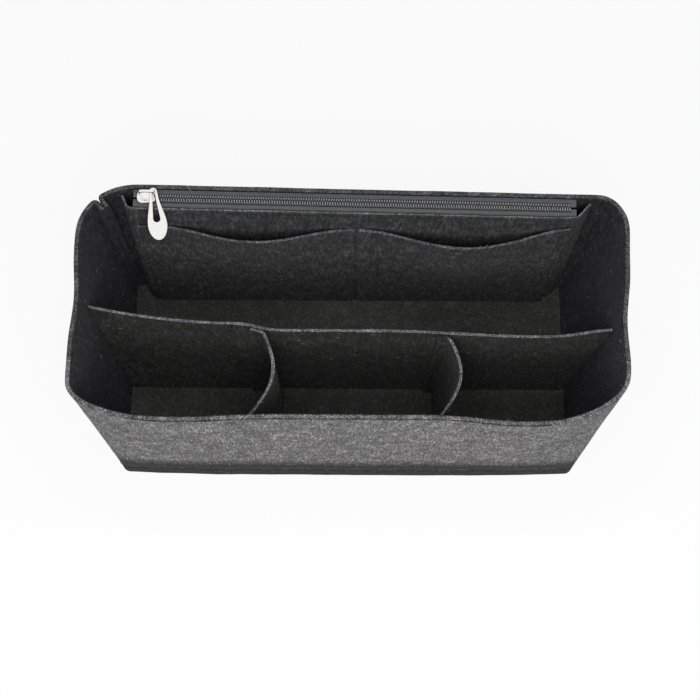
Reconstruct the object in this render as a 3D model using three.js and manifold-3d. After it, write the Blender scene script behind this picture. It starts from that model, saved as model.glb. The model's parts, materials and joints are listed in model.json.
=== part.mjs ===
// Purse organizer insert: an open felt box with a zipped rear pocket, two slip pockets,
// a long divider and two cross dividers. Millimetres, +Z up, length along X, front towards -Y.
// The origin is the centre of the underside of the base.
import * as THREE from 'three';
import { mergeVertices } from 'three/addons/utils/BufferGeometryUtils.js';
import Module from 'manifold-3d';

const wasm = await Module();
wasm.setup();

// Felt box
const BASE_LENGTH = 270;
const BASE_WIDTH = 124;
const WALL_HEIGHT = 126;
const WALL_THICKNESS = 2.8;
const FLARE_LEFT = 15.4;
const FLARE_RIGHT = 15.3;
const FLARE_FRONT = 5.6;
const FLARE_REAR = 4.5;
const FLARE_CURVE = 1.15;
const BASE_CORNER_RADIUS = 4;
const BASE_FRONT_BELLY = 1.8;
const TRAY_HEIGHT = 16;
const TRAY_EDGE_RADIUS = 2;

// Plan radii of the four soft corners at the rim, along X and along Y
const RIM_FRONT_RIGHT = [42, 26];
const RIM_REAR_RIGHT = [17, 22];
const RIM_REAR_LEFT = [34, 29];
const RIM_FRONT_LEFT = [45, 20];

// Seam of the outer wall, at a place on the rear left corner: bend and length of its turned-in ends
const SEAM_TURN = 5.5;
const SEAM_BEND = 2.4;
const SEAM_ALLOWANCE = 5.5;
const SEAM_ALLOWANCE_AT_FOOT = 0.4;

// Rim pulled in by the long divider, front swollen beside the cross dividers, rear and right rims skewed.
// Each fades out within WALL_ZONE of its own wall.
const RIM_PINCH = 1.8;
const PINCH_REACH = 28;
const FRONT_SWELL_LEFT = 1.8;
const FRONT_SWELL_RIGHT = 3.4;
const SWELL_REACH = 50;
const REAR_SKEW = 0.02;
const RIGHT_SKEW = 0.045;
const WALL_ZONE = 40;

// Dividers. At its top the long divider steps back at the left cross divider, sweeps back further
// to the left wall, bellies forward right of the right cross divider and turns back at the right wall.
const DIVIDER_THICKNESS = 1.8;
const DIVIDER_HEIGHT = 110;
const LONG_DIVIDER_Y = -8.5;
const LONG_DIVIDER_LEAN = -3;
const LONG_DIVIDER_LEFT_STEP = 4;
const LONG_DIVIDER_STEP_REACH = 20;
const LONG_DIVIDER_LEFT_SWEEP = 11;
const LONG_DIVIDER_BELLY = 3;
const LONG_DIVIDER_BELLY_X = 102;
const LONG_DIVIDER_BELLY_REACH = 83;
const LONG_DIVIDER_RIGHT_SWEEP = 2.7;
const LONG_DIVIDER_RIGHT_SWEEP_FROM = 20;
const LONG_DIVIDER_RIGHT_SWEEP_REACH = 28;
const LEFT_CROSS_FOOT_X = -40;
const LEFT_CROSS_REAR_X = -46.4;
const LEFT_CROSS_FRONT_X = -55;
const RIGHT_CROSS_FOOT_X = 52;
const RIGHT_CROSS_REAR_X = 55.4;
const RIGHT_CROSS_FRONT_X = 48;
const CROSS_BOW = 9.8;
const CROSS_BEND = 1.8;
const LEFT_REAR_TAB = 18;
const RIGHT_REAR_TAB = 6;
const FRONT_TAB = 14;

// Rear pockets
const POCKET_THICKNESS = 1.7;
const ZIP_POCKET_DEPTH_AT_BASE = 6.7;
const ZIP_PANEL_SETBACK = 10.2;
const ZIP_PANEL_LEFT_FLARE = 1;
const ZIP_PANEL_RIGHT_FLARE = 5;
const ZIP_PANEL_LEFT_RETURN = 3.5;
const ZIP_PANEL_RIGHT_RETURN = 8;
const SLIP_HEIGHT = 106.3;
const SLIP_RIGHT_RISE = 7;
const SLIP_RISE_REACH = 34;
const SLIP_SEAM_X = 4;
const SLIP_LEFT_FLAT = 11;
const SLIP_SWELL_LEFT = 9;
const SLIP_SWELL_RIGHT = 10.2;
const SLIP_SWELL_CURVE = 1.3;

// Zip: tapes, coil and slider, measured from the middle of the chain
const TAPE_BELOW_RIM = 1.6;
const TAPE_THICKNESS = 0.5;
const TAPE_INNER_EDGE = 0.7;
const TAPE_FRONT_REACH = 3.9;
const TAPE_FRONT_MARGIN = 5;
const TAPE_REAR_MARGIN = 1.4;
const TAPE_LEFT_SETBACK = 3.2;
const TAPE_RIGHT_SETBACK = 0.5;
const COIL_HALF_WIDTH = 2.15;
const COIL_SPINE = 0.6;
const COIL_THICKNESS = 1.3;
const COIL_PITCH = 1.4;
const COIL_TOOTH = 0.42;
const COIL_OVERLAP = 0.65;

const SLIDER_AT_LEFT = 2.2;
const SLIDER_LENGTH = 10.4;
const SLIDER_THROAT_HALF_WIDTH = 4;
const SLIDER_THROAT_ROUND = 2.9;
const SLIDER_TAIL_ROUND = 1.4;
const SLIDER_PLATE = 1;
const SLIDER_PLATE_CHAMFER = 0.45;
const SLIDER_BOTTOM_PLATE = 1.2;
const SLIDER_BOTTOM_INSET = 0.5;
const FLANGE_LENGTH = 7.4;
const FLANGE_THICKNESS = 0.6;
const FLANGE_INSET = 0.25;
const DIAMOND_HALF_WIDTH = 0.4;
const DIAMOND_LENGTH = 3.2;
const DIAMOND_INSET = 0.7;
const BAIL_THICKNESS = 1.4;
const BAIL_LEG = 1.2;
const BAIL_BAR = 1.3;
const BAIL_ROUND = 2.5;
const BAIL_WINDOW_HEIGHT = 5.6;
const BAIL_LENGTH = 8.6;
const BAIL_LEG_INSET = 0.1;

// Pull: a flat teardrop with a keyhole slot, hooked on the bail's right leg
const PULL_LENGTH = 29.4;
const PULL_HALF_WIDTH = 5.5;
const PULL_EYE_HALF_WIDTH = 2.3;
const PULL_THICKNESS = 1.4;
const PULL_CHAMFER = 0.25;
const PULL_PIVOT = 3.1;
const PULL_NECK_AT = 9.7;
const PULL_SHOULDER_AT = 14.5;
const PULL_WIDEST_AT = 20.8;
const SLOT_START = 1.4;
const SLOT_NECK_AT = 7;
const SLOT_END = 19.2;
const SLOT_EYE_HALF_WIDTH = 1;
const SLOT_HALF_WIDTH = 1.95;
const PULL_SLOPE = 35;
const PULL_TURN = 7.4;
const PULL_ABOVE_PLATE = 3.5;

// Clearances between sewn or running neighbours, and at a divider's butted ends
const SEAM_GAP = 0.3;
const RUNNING_GAP = 0.3;
const BUTT_GAP = 0.4;

const feltOutside = { color: '#6b6c70', roughness: 1, metalness: 0 };
const feltInside = { color: '#37383b', roughness: 1, metalness: 0 };
const tapeBlack = { color: '#1d1e20', roughness: 0.85, metalness: 0 };
const coilBlack = { color: '#151618', roughness: 0.45, metalness: 0 };
const brightMetal = { color: '#d9d9d6', roughness: 0.18, metalness: 1 };

const organizer = new THREE.Group();

function addMesh(group, name, geometry, look) {
  geometry.computeVertexNormals();
  const mesh = new THREE.Mesh(geometry, new THREE.MeshStandardMaterial(look));
  mesh.name = name;
  group.add(mesh);
  return mesh;
}

const lerp = THREE.MathUtils.lerp;
const smooth = (value) => THREE.MathUtils.smoothstep(value, 0, 1);
const bump = (value) => (Math.abs(value) < 1 ? Math.cos((value * Math.PI) / 2) ** 2 : 0);

// Closed geometry from vertices and triangles, turned so that its faces point out
function closedGeometry(positions, index) {
  let volume = 0;
  const corner = (k) => new THREE.Vector3().fromArray(positions, index[k] * 3);
  for (let k = 0; k < index.length; k += 3) {
    volume += corner(k).dot(corner(k + 1).cross(corner(k + 2)));
  }
  if (volume < 0) {
    index.reverse();
  }
  const geometry = new THREE.BufferGeometry();
  geometry.setAttribute('position', new THREE.Float32BufferAttribute(positions, 3));
  geometry.setIndex(index);
  return geometry;
}

// A sheet of felt: two matching grids of points, closed along their four edges
function sheetGeometry(stations, levels, faceA, faceB) {
  const positions = [];
  const index = [];
  for (const face of [faceA, faceB]) {
    for (let j = 0; j <= levels; j++) {
      for (let i = 0; i <= stations; i++) {
        positions.push(...face(i, j));
      }
    }
  }
  const at = (side, i, j) => (side * (levels + 1) + j) * (stations + 1) + i;
  const quad = (a, b, c, d) => index.push(a, b, c, a, c, d);
  for (let j = 0; j < levels; j++) {
    for (let i = 0; i < stations; i++) {
      quad(at(0, i, j), at(0, i + 1, j), at(0, i + 1, j + 1), at(0, i, j + 1));
      quad(at(1, i, j), at(1, i, j + 1), at(1, i + 1, j + 1), at(1, i + 1, j));
    }
    quad(at(0, 0, j), at(0, 0, j + 1), at(1, 0, j + 1), at(1, 0, j));
    quad(at(0, stations, j), at(1, stations, j), at(1, stations, j + 1), at(0, stations, j + 1));
  }
  for (let i = 0; i < stations; i++) {
    quad(at(0, i, 0), at(1, i, 0), at(1, i + 1, 0), at(0, i + 1, 0));
    quad(at(0, i, levels), at(0, i + 1, levels), at(1, i + 1, levels), at(1, i, levels));
  }
  return closedGeometry(positions, index);
}

// A sheet that follows a plan path at each height, with half its thickness to each side
function pathSheetGeometry(pathAt, bottom, top, levels, thickness) {
  const height = (j) => lerp(bottom, top, j / levels);
  const paths = Array.from({ length: levels + 1 }, (_, j) => pathAt(height(j)));
  const stations = paths[0].length - 1;
  const face = (offset) => (i, j) => {
    const path = paths[j];
    const before = path[Math.max(0, i - 1)];
    const after = path[Math.min(stations, i + 1)];
    const direction = after.clone().sub(before).normalize();
    return [path[i].x - direction.y * offset, path[i].y + direction.x * offset, height(j)];
  };
  return sheetGeometry(stations, levels, face(-thickness / 2), face(thickness / 2));
}

// Outer plan of the box at a height. The turn value runs counter-clockwise from the front wall's left
// end: front, corner, right, corner, rear, corner, left, corner, one unit each.
const SIDES = 8;
const flare = (z) => (z / WALL_HEIGHT) ** FLARE_CURVE;
const cornerRadii = (rim, z) => rim.map((radius) => lerp(BASE_CORNER_RADIUS, radius, flare(z)));

function plainOutline(turn, z) {
  const t = flare(z);
  const left = -BASE_LENGTH / 2 - FLARE_LEFT * t;
  const right = BASE_LENGTH / 2 + FLARE_RIGHT * t;
  const front = -BASE_WIDTH / 2 - FLARE_FRONT * t;
  const rear = BASE_WIDTH / 2 + FLARE_REAR * t;
  const [frx, fry] = cornerRadii(RIM_FRONT_RIGHT, z);
  const [rrx, rry] = cornerRadii(RIM_REAR_RIGHT, z);
  const [rlx, rly] = cornerRadii(RIM_REAR_LEFT, z);
  const [flx, fly] = cornerRadii(RIM_FRONT_LEFT, z);
  const wrapped = ((turn % SIDES) + SIDES) % SIDES;
  const side = Math.floor(wrapped);
  const s = wrapped - side;
  const arc = (cx, cy, rx, ry, quarter) => {
    const angle = ((quarter + s) * Math.PI) / 2;
    return [cx + rx * Math.cos(angle), cy + ry * Math.sin(angle)];
  };
  const paths = [
    () => [lerp(left + flx, right - frx, s), front],
    () => arc(right - frx, front + fry, frx, fry, 3),
    () => [right, lerp(front + fry, rear - rry, s)],
    () => arc(right - rrx, rear - rry, rrx, rry, 0),
    () => [lerp(right - rrx, left + rlx, s), rear],
    () => arc(left + rlx, rear - rly, rlx, rly, 1),
    () => [left, lerp(rear - rly, front + fly, s)],
    () => arc(left + flx, front + fly, flx, fly, 2),
  ];
  return paths[side]();
}

// Long divider: its middle surface, straight at its foot and curved towards its top edge
function longDividerY(x, z) {
  const t = z / DIVIDER_HEIGHT;
  const stepEnd = LEFT_CROSS_FOOT_X - LONG_DIVIDER_STEP_REACH;
  const step = LONG_DIVIDER_LEFT_STEP * smooth((LEFT_CROSS_FOOT_X - x) / LONG_DIVIDER_STEP_REACH);
  const sweepShare = Math.max(0, stepEnd - x) / (stepEnd + BASE_LENGTH / 2 + FLARE_LEFT);
  const sweepLeft = LONG_DIVIDER_LEFT_SWEEP * sweepShare ** 2;
  const belly = LONG_DIVIDER_BELLY * bump((x - LONG_DIVIDER_BELLY_X) / LONG_DIVIDER_BELLY_REACH);
  const turnStart = BASE_LENGTH / 2 - LONG_DIVIDER_RIGHT_SWEEP_FROM;
  const sweepRight = LONG_DIVIDER_RIGHT_SWEEP * smooth((x - turnStart) / LONG_DIVIDER_RIGHT_SWEEP_REACH);
  return LONG_DIVIDER_Y + t * (LONG_DIVIDER_LEAN + step + sweepLeft + sweepRight - belly);
}

// Soft movement of the felt: skewed rear rim, rim pinched at the divider, swollen front panels
const LEFT_PINCH_Y = longDividerY(-BASE_LENGTH / 2, DIVIDER_HEIGHT);
const RIGHT_PINCH_Y = longDividerY(BASE_LENGTH / 2, DIVIDER_HEIGHT);
const LEFT_SWELL_X = (LEFT_CROSS_REAR_X - BASE_LENGTH / 2) / 2;
const RIGHT_SWELL_X = (RIGHT_CROSS_REAR_X + BASE_LENGTH / 2) / 2;

function rearSkew(x, z) {
  return -REAR_SKEW * x * flare(z);
}

function outline(turn, z) {
  const [x, y] = plainOutline(turn, z);
  const t = flare(z);
  const near = (inside) => smooth(1 - inside / WALL_ZONE);
  const nearRear = near(BASE_WIDTH / 2 - y);
  const nearFront = near(BASE_WIDTH / 2 + y);
  const nearLeft = near(BASE_LENGTH / 2 + x);
  const nearRight = near(BASE_LENGTH / 2 - x);
  const swellLeft = FRONT_SWELL_LEFT * bump((x - LEFT_SWELL_X) / SWELL_REACH);
  const swellRight = FRONT_SWELL_RIGHT * bump((x - RIGHT_SWELL_X) / SWELL_REACH);
  const belly = BASE_FRONT_BELLY * (1 - t) * Math.max(0, 1 - ((2 * x) / BASE_LENGTH) ** 4);
  const pinchLeft = RIM_PINCH * bump((y - LEFT_PINCH_Y) / PINCH_REACH) * nearLeft;
  const pinchRight = RIM_PINCH * bump((y - RIGHT_PINCH_Y) / PINCH_REACH) * nearRight;
  const rightSkew = RIGHT_SKEW * (y + BASE_WIDTH / 2) * nearRight;
  return [
    x + t * (pinchLeft - pinchRight + rightSkew),
    y + rearSkew(x, z) * nearRear - (t * (swellLeft + swellRight) + belly) * nearFront,
  ];
}

// A point of the wall, set inwards from the outer surface and shifted along it
const TURN_STEP = 1e-3;
function wallPoint(turn, z, inset, along = 0) {
  const [x, y] = outline(turn, z);
  const [xa, ya] = outline(turn - TURN_STEP, z);
  const [xb, yb] = outline(turn + TURN_STEP, z);
  const length = Math.hypot(xb - xa, yb - ya);
  const tx = (xb - xa) / length;
  const ty = (yb - ya) / length;
  return [x - ty * inset + tx * along, y + tx * inset + ty * along, z];
}

// Where the inner face of a wall crosses a given x (axis 0) or y (axis 1), between two turns
function innerFace(axis, value, z, turnA, turnB) {
  let low = turnA;
  let high = turnB;
  const rising = wallPoint(turnB, z, WALL_THICKNESS)[axis] > wallPoint(turnA, z, WALL_THICKNESS)[axis];
  for (let step = 0; step < 40; step++) {
    const middle = (low + high) / 2;
    if (wallPoint(middle, z, WALL_THICKNESS)[axis] < value === rising) {
      low = middle;
    } else {
      high = middle;
    }
  }
  return wallPoint((low + high) / 2, z, WALL_THICKNESS)[1 - axis];
}
const frontInnerY = (x, z) => innerFace(0, x, z, -0.9, 1.9);
const rightInnerX = (y, z) => innerFace(1, y, z, 1.1, 3.9);
const rearInnerY = (x, z) => innerFace(0, x, z, 3.1, 5.9);
const leftInnerX = (y, z) => innerFace(1, y, z, 5.1, 7.9);

// Outer wall: one strip of felt round the whole box, its two ends turned in and sewn together
const WALL_LEVELS = 5;
const BEND_STEPS = 4;
const WALL_STEPS = [4, 12, 8, 26, 8, 12, 8, 16, 4];
function outerWallPath(z) {
  const middle = WALL_THICKNESS / 2;
  const apart = middle + SEAM_GAP / 2;
  const [radiusX, radiusY] = cornerRadii(RIM_REAR_LEFT, z);
  const bendTurn = (apart + SEAM_BEND) / ((radiusX + radiusY) * (Math.PI / 4));
  const at = (turn, inset, along) => new THREE.Vector2(...wallPoint(turn, z, inset, along));
  const turnedIn = (side) => {
    const along = side * apart;
    const bendEnd = middle + SEAM_BEND;
    const bend = new THREE.QuadraticBezierCurve(
      at(SEAM_TURN, bendEnd, along),
      at(SEAM_TURN, middle, along),
      at(SEAM_TURN + side * bendTurn, middle, 0),
    );
    const allowance = lerp(SEAM_ALLOWANCE_AT_FOOT, SEAM_ALLOWANCE, flare(z));
    return [at(SEAM_TURN, bendEnd + allowance, along), ...bend.getPoints(BEND_STEPS)];
  };
  const path = turnedIn(1);
  const start = SEAM_TURN + bendTurn;
  const end = SEAM_TURN + SIDES - bendTurn;
  const marks = [start, 6, 7, 8, 9, 10, 11, 12, 13, end];
  WALL_STEPS.forEach((steps, run) => {
    for (let i = 1; i <= steps; i++) {
      path.push(at(lerp(marks[run], marks[run + 1], i / steps), middle, 0));
    }
  });
  path.pop();
  path.push(...turnedIn(-1).reverse());
  return path;
}
const wallFoot = TRAY_HEIGHT + SEAM_GAP;
const outerWall = pathSheetGeometry(outerWallPath, wallFoot, WALL_HEIGHT, WALL_LEVELS, WALL_THICKNESS);
addMesh(organizer, 'outer_wall', outerWall, feltOutside);

// Base: a felt tray with its edge turned up to the walls, in rings from the underside to the floor
function trayGeometry() {
  const turns = [];
  for (let side = 0; side < SIDES; side++) {
    const steps = side % 2 ? 6 : 10;
    for (let i = 0; i < steps; i++) {
      turns.push(side + i / steps);
    }
  }
  const rings = [];
  const edgeSteps = 4;
  for (let k = 0; k <= edgeSteps; k++) {
    const angle = (k / edgeSteps) * (Math.PI / 2);
    rings.push([TRAY_EDGE_RADIUS * (1 - Math.sin(angle)), TRAY_EDGE_RADIUS * (1 - Math.cos(angle))]);
  }
  rings.push([0, TRAY_HEIGHT]);
  rings.push([WALL_THICKNESS, TRAY_HEIGHT]);
  rings.push([WALL_THICKNESS, WALL_THICKNESS]);
  const positions = rings.flatMap(([inset, z]) => turns.flatMap((turn) => wallPoint(turn, z, inset)));
  const count = turns.length;
  const index = [];
  for (let k = 0; k + 1 < rings.length; k++) {
    for (let i = 0; i < count; i++) {
      const next = (i + 1) % count;
      index.push(k * count + i, k * count + next, (k + 1) * count + next);
      index.push(k * count + i, (k + 1) * count + next, (k + 1) * count + i);
    }
  }
  const capRing = (k, flip) => {
    const ring = turns.map((turn) => new THREE.Vector2(...wallPoint(turn, rings[k][1], rings[k][0])));
    for (const [a, b, c] of THREE.ShapeUtils.triangulateShape(ring, [])) {
      index.push(k * count + a, k * count + (flip ? c : b), k * count + (flip ? b : c));
    }
  };
  capRing(0, true);
  capRing(rings.length - 1, false);
  return closedGeometry(positions, index);
}
addMesh(organizer, 'base_tray', trayGeometry(), feltOutside);
const FLOOR_Z = WALL_THICKNESS + SEAM_GAP;

// Long divider, sewn across from side wall to side wall
function longDividerGeometry() {
  const stations = 36;
  const levels = WALL_LEVELS;
  const height = (j) => lerp(FLOOR_Z, DIVIDER_HEIGHT, j / levels);
  const endX = (innerX, start, inwards, z) => {
    let x = start;
    for (let step = 0; step < 4; step++) {
      x = innerX(longDividerY(x, z), z) + inwards * BUTT_GAP;
    }
    return x;
  };
  const ends = Array.from({ length: levels + 1 }, (_, j) => [
    endX(leftInnerX, -BASE_LENGTH / 2, 1, height(j)),
    endX(rightInnerX, BASE_LENGTH / 2, -1, height(j)),
  ]);
  const face = (offset) => (i, j) => {
    const x = lerp(...ends[j], i / stations);
    return [x, longDividerY(x, height(j)) + offset, height(j)];
  };
  return sheetGeometry(stations, levels, face(-DIVIDER_THICKNESS / 2), face(DIVIDER_THICKNESS / 2));
}
addMesh(organizer, 'long_divider', longDividerGeometry(), feltInside);

// Cross divider: a strip with a tab sewn to the long divider, a bowed middle and a tab on the front wall
function crossDividerPath(cross, z) {
  const t = z / DIVIDER_HEIGHT;
  const rearX = lerp(cross.footX, cross.rearX, t);
  const frontX = lerp(cross.footX, cross.frontX, t);
  const onRearTab = (x) => new THREE.Vector2(x, longDividerY(x, z) - DIVIDER_THICKNESS - SEAM_GAP);
  const onFrontTab = (x) => new THREE.Vector2(x, frontInnerY(x, z) + DIVIDER_THICKNESS / 2 + SEAM_GAP);
  const rearCorner = onRearTab(rearX);
  const frontCorner = onFrontTab(frontX);
  const middle = (s) => {
    const point = rearCorner.clone().lerp(frontCorner, s);
    point.x += CROSS_BOW * t * Math.sin(Math.PI * s);
    return point;
  };
  const bendShare = CROSS_BEND / rearCorner.distanceTo(frontCorner);
  const tabSteps = 3;
  const middleSteps = 12;
  const bend = (from, by, to) => new THREE.QuadraticBezierCurve(from, by, to).getPoints(BEND_STEPS);
  const path = [];
  for (let i = 0; i < tabSteps; i++) {
    path.push(onRearTab(rearX - lerp(cross.rearTab, CROSS_BEND, i / tabSteps)));
  }
  path.push(...bend(onRearTab(rearX - CROSS_BEND), rearCorner, middle(bendShare)));
  for (let i = 1; i < middleSteps; i++) {
    path.push(middle(lerp(bendShare, 1 - bendShare, i / middleSteps)));
  }
  path.push(...bend(middle(1 - bendShare), frontCorner, onFrontTab(frontX - CROSS_BEND)));
  for (let i = 1; i <= tabSteps; i++) {
    path.push(onFrontTab(frontX - lerp(CROSS_BEND, FRONT_TAB, i / tabSteps)));
  }
  return path;
}

const leftCross = {
  footX: LEFT_CROSS_FOOT_X,
  rearX: LEFT_CROSS_REAR_X,
  frontX: LEFT_CROSS_FRONT_X,
  rearTab: LEFT_REAR_TAB,
};
const rightCross = {
  footX: RIGHT_CROSS_FOOT_X,
  rearX: RIGHT_CROSS_REAR_X,
  frontX: RIGHT_CROSS_FRONT_X,
  rearTab: RIGHT_REAR_TAB,
};
for (const [name, cross] of [['left_cross_divider', leftCross], ['right_cross_divider', rightCross]]) {
  const pathAt = (z) => crossDividerPath(cross, z);
  const strip = pathSheetGeometry(pathAt, FLOOR_Z, DIVIDER_HEIGHT, WALL_LEVELS, DIVIDER_THICKNESS);
  addMesh(organizer, name, strip, feltInside);
}

// Zip line: the chain runs beside the rear wall, just below the rim, with room for the slider
const TAPE_Z = WALL_HEIGHT - TAPE_BELOW_RIM;
const TAPE_REAR_REACH = SLIDER_THROAT_HALF_WIDTH + RUNNING_GAP;
const CHAIN_Y = rearInnerY(0, TAPE_Z) - SEAM_GAP - TAPE_THICKNESS - TAPE_REAR_REACH;
const ZIP_SLOPE = REAR_SKEW * flare(TAPE_Z);

// Zip panel: the front of the zipped pocket, with its ends turned back to the rear wall
const ZIP_PANEL_TOP = TAPE_Z - SEAM_GAP * 2;
const ZIP_PANEL_TOP_Y = CHAIN_Y - TAPE_FRONT_REACH - TAPE_THICKNESS - SEAM_GAP - POCKET_THICKNESS / 2;
const ZIP_PANEL_BASE_Y = BASE_WIDTH / 2 - WALL_THICKNESS - ZIP_POCKET_DEPTH_AT_BASE - POCKET_THICKNESS / 2;

// Ends of the panel's flat face, left and right, at a height
const panelEnd = BASE_LENGTH / 2 - WALL_THICKNESS - ZIP_PANEL_SETBACK;
const panelLeftX = (z) => -panelEnd - ZIP_PANEL_LEFT_FLARE * flare(z);
const panelRightX = (z) => panelEnd + ZIP_PANEL_RIGHT_FLARE * flare(z);

function zipPanelY(x, z) {
  return lerp(ZIP_PANEL_BASE_Y, ZIP_PANEL_TOP_Y, z / ZIP_PANEL_TOP) + rearSkew(x, z);
}

function zipPanelPath(z) {
  const path = [];
  const returnSteps = 3;
  const faceSteps = 14;
  const turnBack = (bendX, reach, s) => {
    const wallY = rearInnerY(bendX + reach + (Math.sign(reach) * POCKET_THICKNESS) / 2, z);
    const endY = wallY - SEAM_GAP - POCKET_THICKNESS / 2;
    return new THREE.Vector2(bendX + reach * s, lerp(zipPanelY(bendX, z), endY, s));
  };
  for (let i = returnSteps; i > 0; i--) {
    path.push(turnBack(panelLeftX(z), -ZIP_PANEL_LEFT_RETURN, i / returnSteps));
  }
  for (let i = 0; i <= faceSteps; i++) {
    const x = lerp(panelLeftX(z), panelRightX(z), i / faceSteps);
    path.push(new THREE.Vector2(x, zipPanelY(x, z)));
  }
  for (let i = 1; i <= returnSteps; i++) {
    path.push(turnBack(panelRightX(z), ZIP_PANEL_RIGHT_RETURN, i / returnSteps));
  }
  return path;
}
const zipPanel = pathSheetGeometry(zipPanelPath, FLOOR_Z, ZIP_PANEL_TOP, 4, POCKET_THICKNESS);
addMesh(organizer, 'zip_panel', zipPanel, feltInside);

// Slip pocket panel: sewn flat at its ends, its foot and its middle seam, with two swollen mouths
function slipSwell(x, z) {
  const t = Math.max(0, (z - FLOOR_Z) / (SLIP_HEIGHT - FLOOR_Z)) ** SLIP_SWELL_CURVE;
  const mouth = (from, to, swell) => swell * bump((2 * (x - from)) / (to - from) - 1);
  const left = mouth(panelLeftX(z) + SLIP_LEFT_FLAT, SLIP_SEAM_X, SLIP_SWELL_LEFT);
  const right = mouth(SLIP_SEAM_X, panelRightX(z), SLIP_SWELL_RIGHT);
  return t * (left + right);
}

function slipPanelGeometry() {
  const stations = 40;
  const levels = 6;
  const back = -POCKET_THICKNESS / 2 - SEAM_GAP;
  const length = panelRightX(SLIP_HEIGHT) - panelLeftX(SLIP_HEIGHT);
  const top = (s) => SLIP_HEIGHT + SLIP_RIGHT_RISE * smooth(1 - ((1 - s) * length) / SLIP_RISE_REACH);
  const face = (offset) => (i, j) => {
    const z = lerp(FLOOR_Z, top(i / stations), j / levels);
    const x = lerp(panelLeftX(z) + POCKET_THICKNESS, panelRightX(z) - POCKET_THICKNESS, i / stations);
    return [x, zipPanelY(x, z) + back + offset - slipSwell(x, z), z];
  };
  return sheetGeometry(stations, levels, face(-POCKET_THICKNESS), face(0));
}
addMesh(organizer, 'slip_pocket_panel', slipPanelGeometry(), feltInside);

// Zip frame: X along the chain, Y across it towards the rear wall, Z out of the tape's face
const zip = new THREE.Group();
zip.position.set(0, CHAIN_Y, TAPE_Z);
zip.rotation.z = -Math.atan(ZIP_SLOPE);
organizer.add(zip);

const toSectionFrame = new THREE.Matrix4().makeBasis(
  new THREE.Vector3(0, 1, 0),
  new THREE.Vector3(0, 0, 1),
  new THREE.Vector3(1, 0, 0),
);

function polygon(points) {
  return new THREE.Shape(points.map(([x, y]) => new THREE.Vector2(x, y)));
}

// A section in the Y and Z of the zip frame, extruded along X
function alongZip(section, fromX, toX) {
  const geometry = new THREE.ExtrudeGeometry(section, { depth: toX - fromX, bevelEnabled: false });
  return geometry.applyMatrix4(toSectionFrame).translate(fromX, 0, 0);
}

// An outline in the X and Y of the zip frame, extruded along Z, chamfered if asked
function upFromZip(outlineShape, fromZ, toZ, chamfer = 0) {
  const geometry = new THREE.ExtrudeGeometry(outlineShape, {
    depth: toZ - fromZ - 2 * chamfer,
    bevelEnabled: chamfer > 0,
    bevelThickness: chamfer,
    bevelSize: chamfer,
    bevelOffset: -chamfer,
    bevelSegments: 1,
    curveSegments: 6,
  });
  return geometry.translate(0, 0, fromZ + chamfer);
}

const TAPE_LEFT_X = panelLeftX(TAPE_Z) + TAPE_LEFT_SETBACK;
const TAPE_RIGHT_X = panelRightX(TAPE_Z) - TAPE_RIGHT_SETBACK;
const SLIDER_X = TAPE_LEFT_X + SLIDER_AT_LEFT + SLIDER_LENGTH / 2;

// Tapes: the rear one turns up against the wall, the front one turns down behind the zip panel
const rearTape = polygon([
  [TAPE_INNER_EDGE, 0],
  [TAPE_REAR_REACH + TAPE_THICKNESS, 0],
  [TAPE_REAR_REACH + TAPE_THICKNESS, TAPE_REAR_MARGIN],
  [TAPE_REAR_REACH, TAPE_REAR_MARGIN],
  [TAPE_REAR_REACH, TAPE_THICKNESS],
  [TAPE_INNER_EDGE, TAPE_THICKNESS],
]);
const frontTape = polygon([
  [-TAPE_INNER_EDGE, 0],
  [-TAPE_INNER_EDGE, TAPE_THICKNESS],
  [-TAPE_FRONT_REACH - TAPE_THICKNESS, TAPE_THICKNESS],
  [-TAPE_FRONT_REACH - TAPE_THICKNESS, -TAPE_FRONT_MARGIN],
  [-TAPE_FRONT_REACH, -TAPE_FRONT_MARGIN],
  [-TAPE_FRONT_REACH, 0],
]);
addMesh(zip, 'rear_zip_tape', alongZip(rearTape, TAPE_LEFT_X, TAPE_RIGHT_X), tapeBlack);
addMesh(zip, 'front_zip_tape', alongZip(frontTape, TAPE_LEFT_X, TAPE_RIGHT_X), tapeBlack);

// Coil halves: a comb of teeth on a spine, one comb half a pitch behind the other so that they mesh
const COIL_BOTTOM = TAPE_THICKNESS + SEAM_GAP;
const COIL_TOP = COIL_BOTTOM + COIL_THICKNESS;
const DIAMOND_LEFT_X = SLIDER_X - SLIDER_LENGTH / 2 + DIAMOND_INSET;
const COIL_START_X = DIAMOND_LEFT_X + DIAMOND_LENGTH + RUNNING_GAP;
const TOOTH_COUNT = Math.floor((TAPE_RIGHT_X - COIL_START_X) / COIL_PITCH - 0.5);

function coilGeometry(towards, phase) {
  const spineInner = towards * (COIL_HALF_WIDTH - COIL_SPINE);
  const spineOuter = towards * COIL_HALF_WIDTH;
  const tip = -towards * COIL_OVERLAP;
  const points = [];
  for (let i = 0; i < TOOTH_COUNT; i++) {
    const x = COIL_START_X + (i + phase) * COIL_PITCH;
    points.push([x, spineInner], [x, tip], [x + COIL_TOOTH, tip], [x + COIL_TOOTH, spineInner]);
  }
  const endX = points[points.length - 1][0];
  points.push([endX, spineOuter], [points[0][0], spineOuter]);
  return upFromZip(polygon(points), COIL_BOTTOM, COIL_TOP);
}
addMesh(zip, 'rear_zip_coil', coilGeometry(1, 0), coilBlack);
addMesh(zip, 'front_zip_coil', coilGeometry(-1, 0.5), coilBlack);

// Booleans for the cast slider
function toManifold(geometry) {
  const bare = geometry.clone();
  bare.deleteAttribute('normal');
  bare.deleteAttribute('uv');
  const merged = mergeVertices(bare, 1e-4);
  return new wasm.Manifold(new wasm.Mesh({
    numProp: 3,
    vertProperties: new Float32Array(merged.attributes.position.array),
    triVerts: new Uint32Array(merged.index.array),
  }));
}

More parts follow.
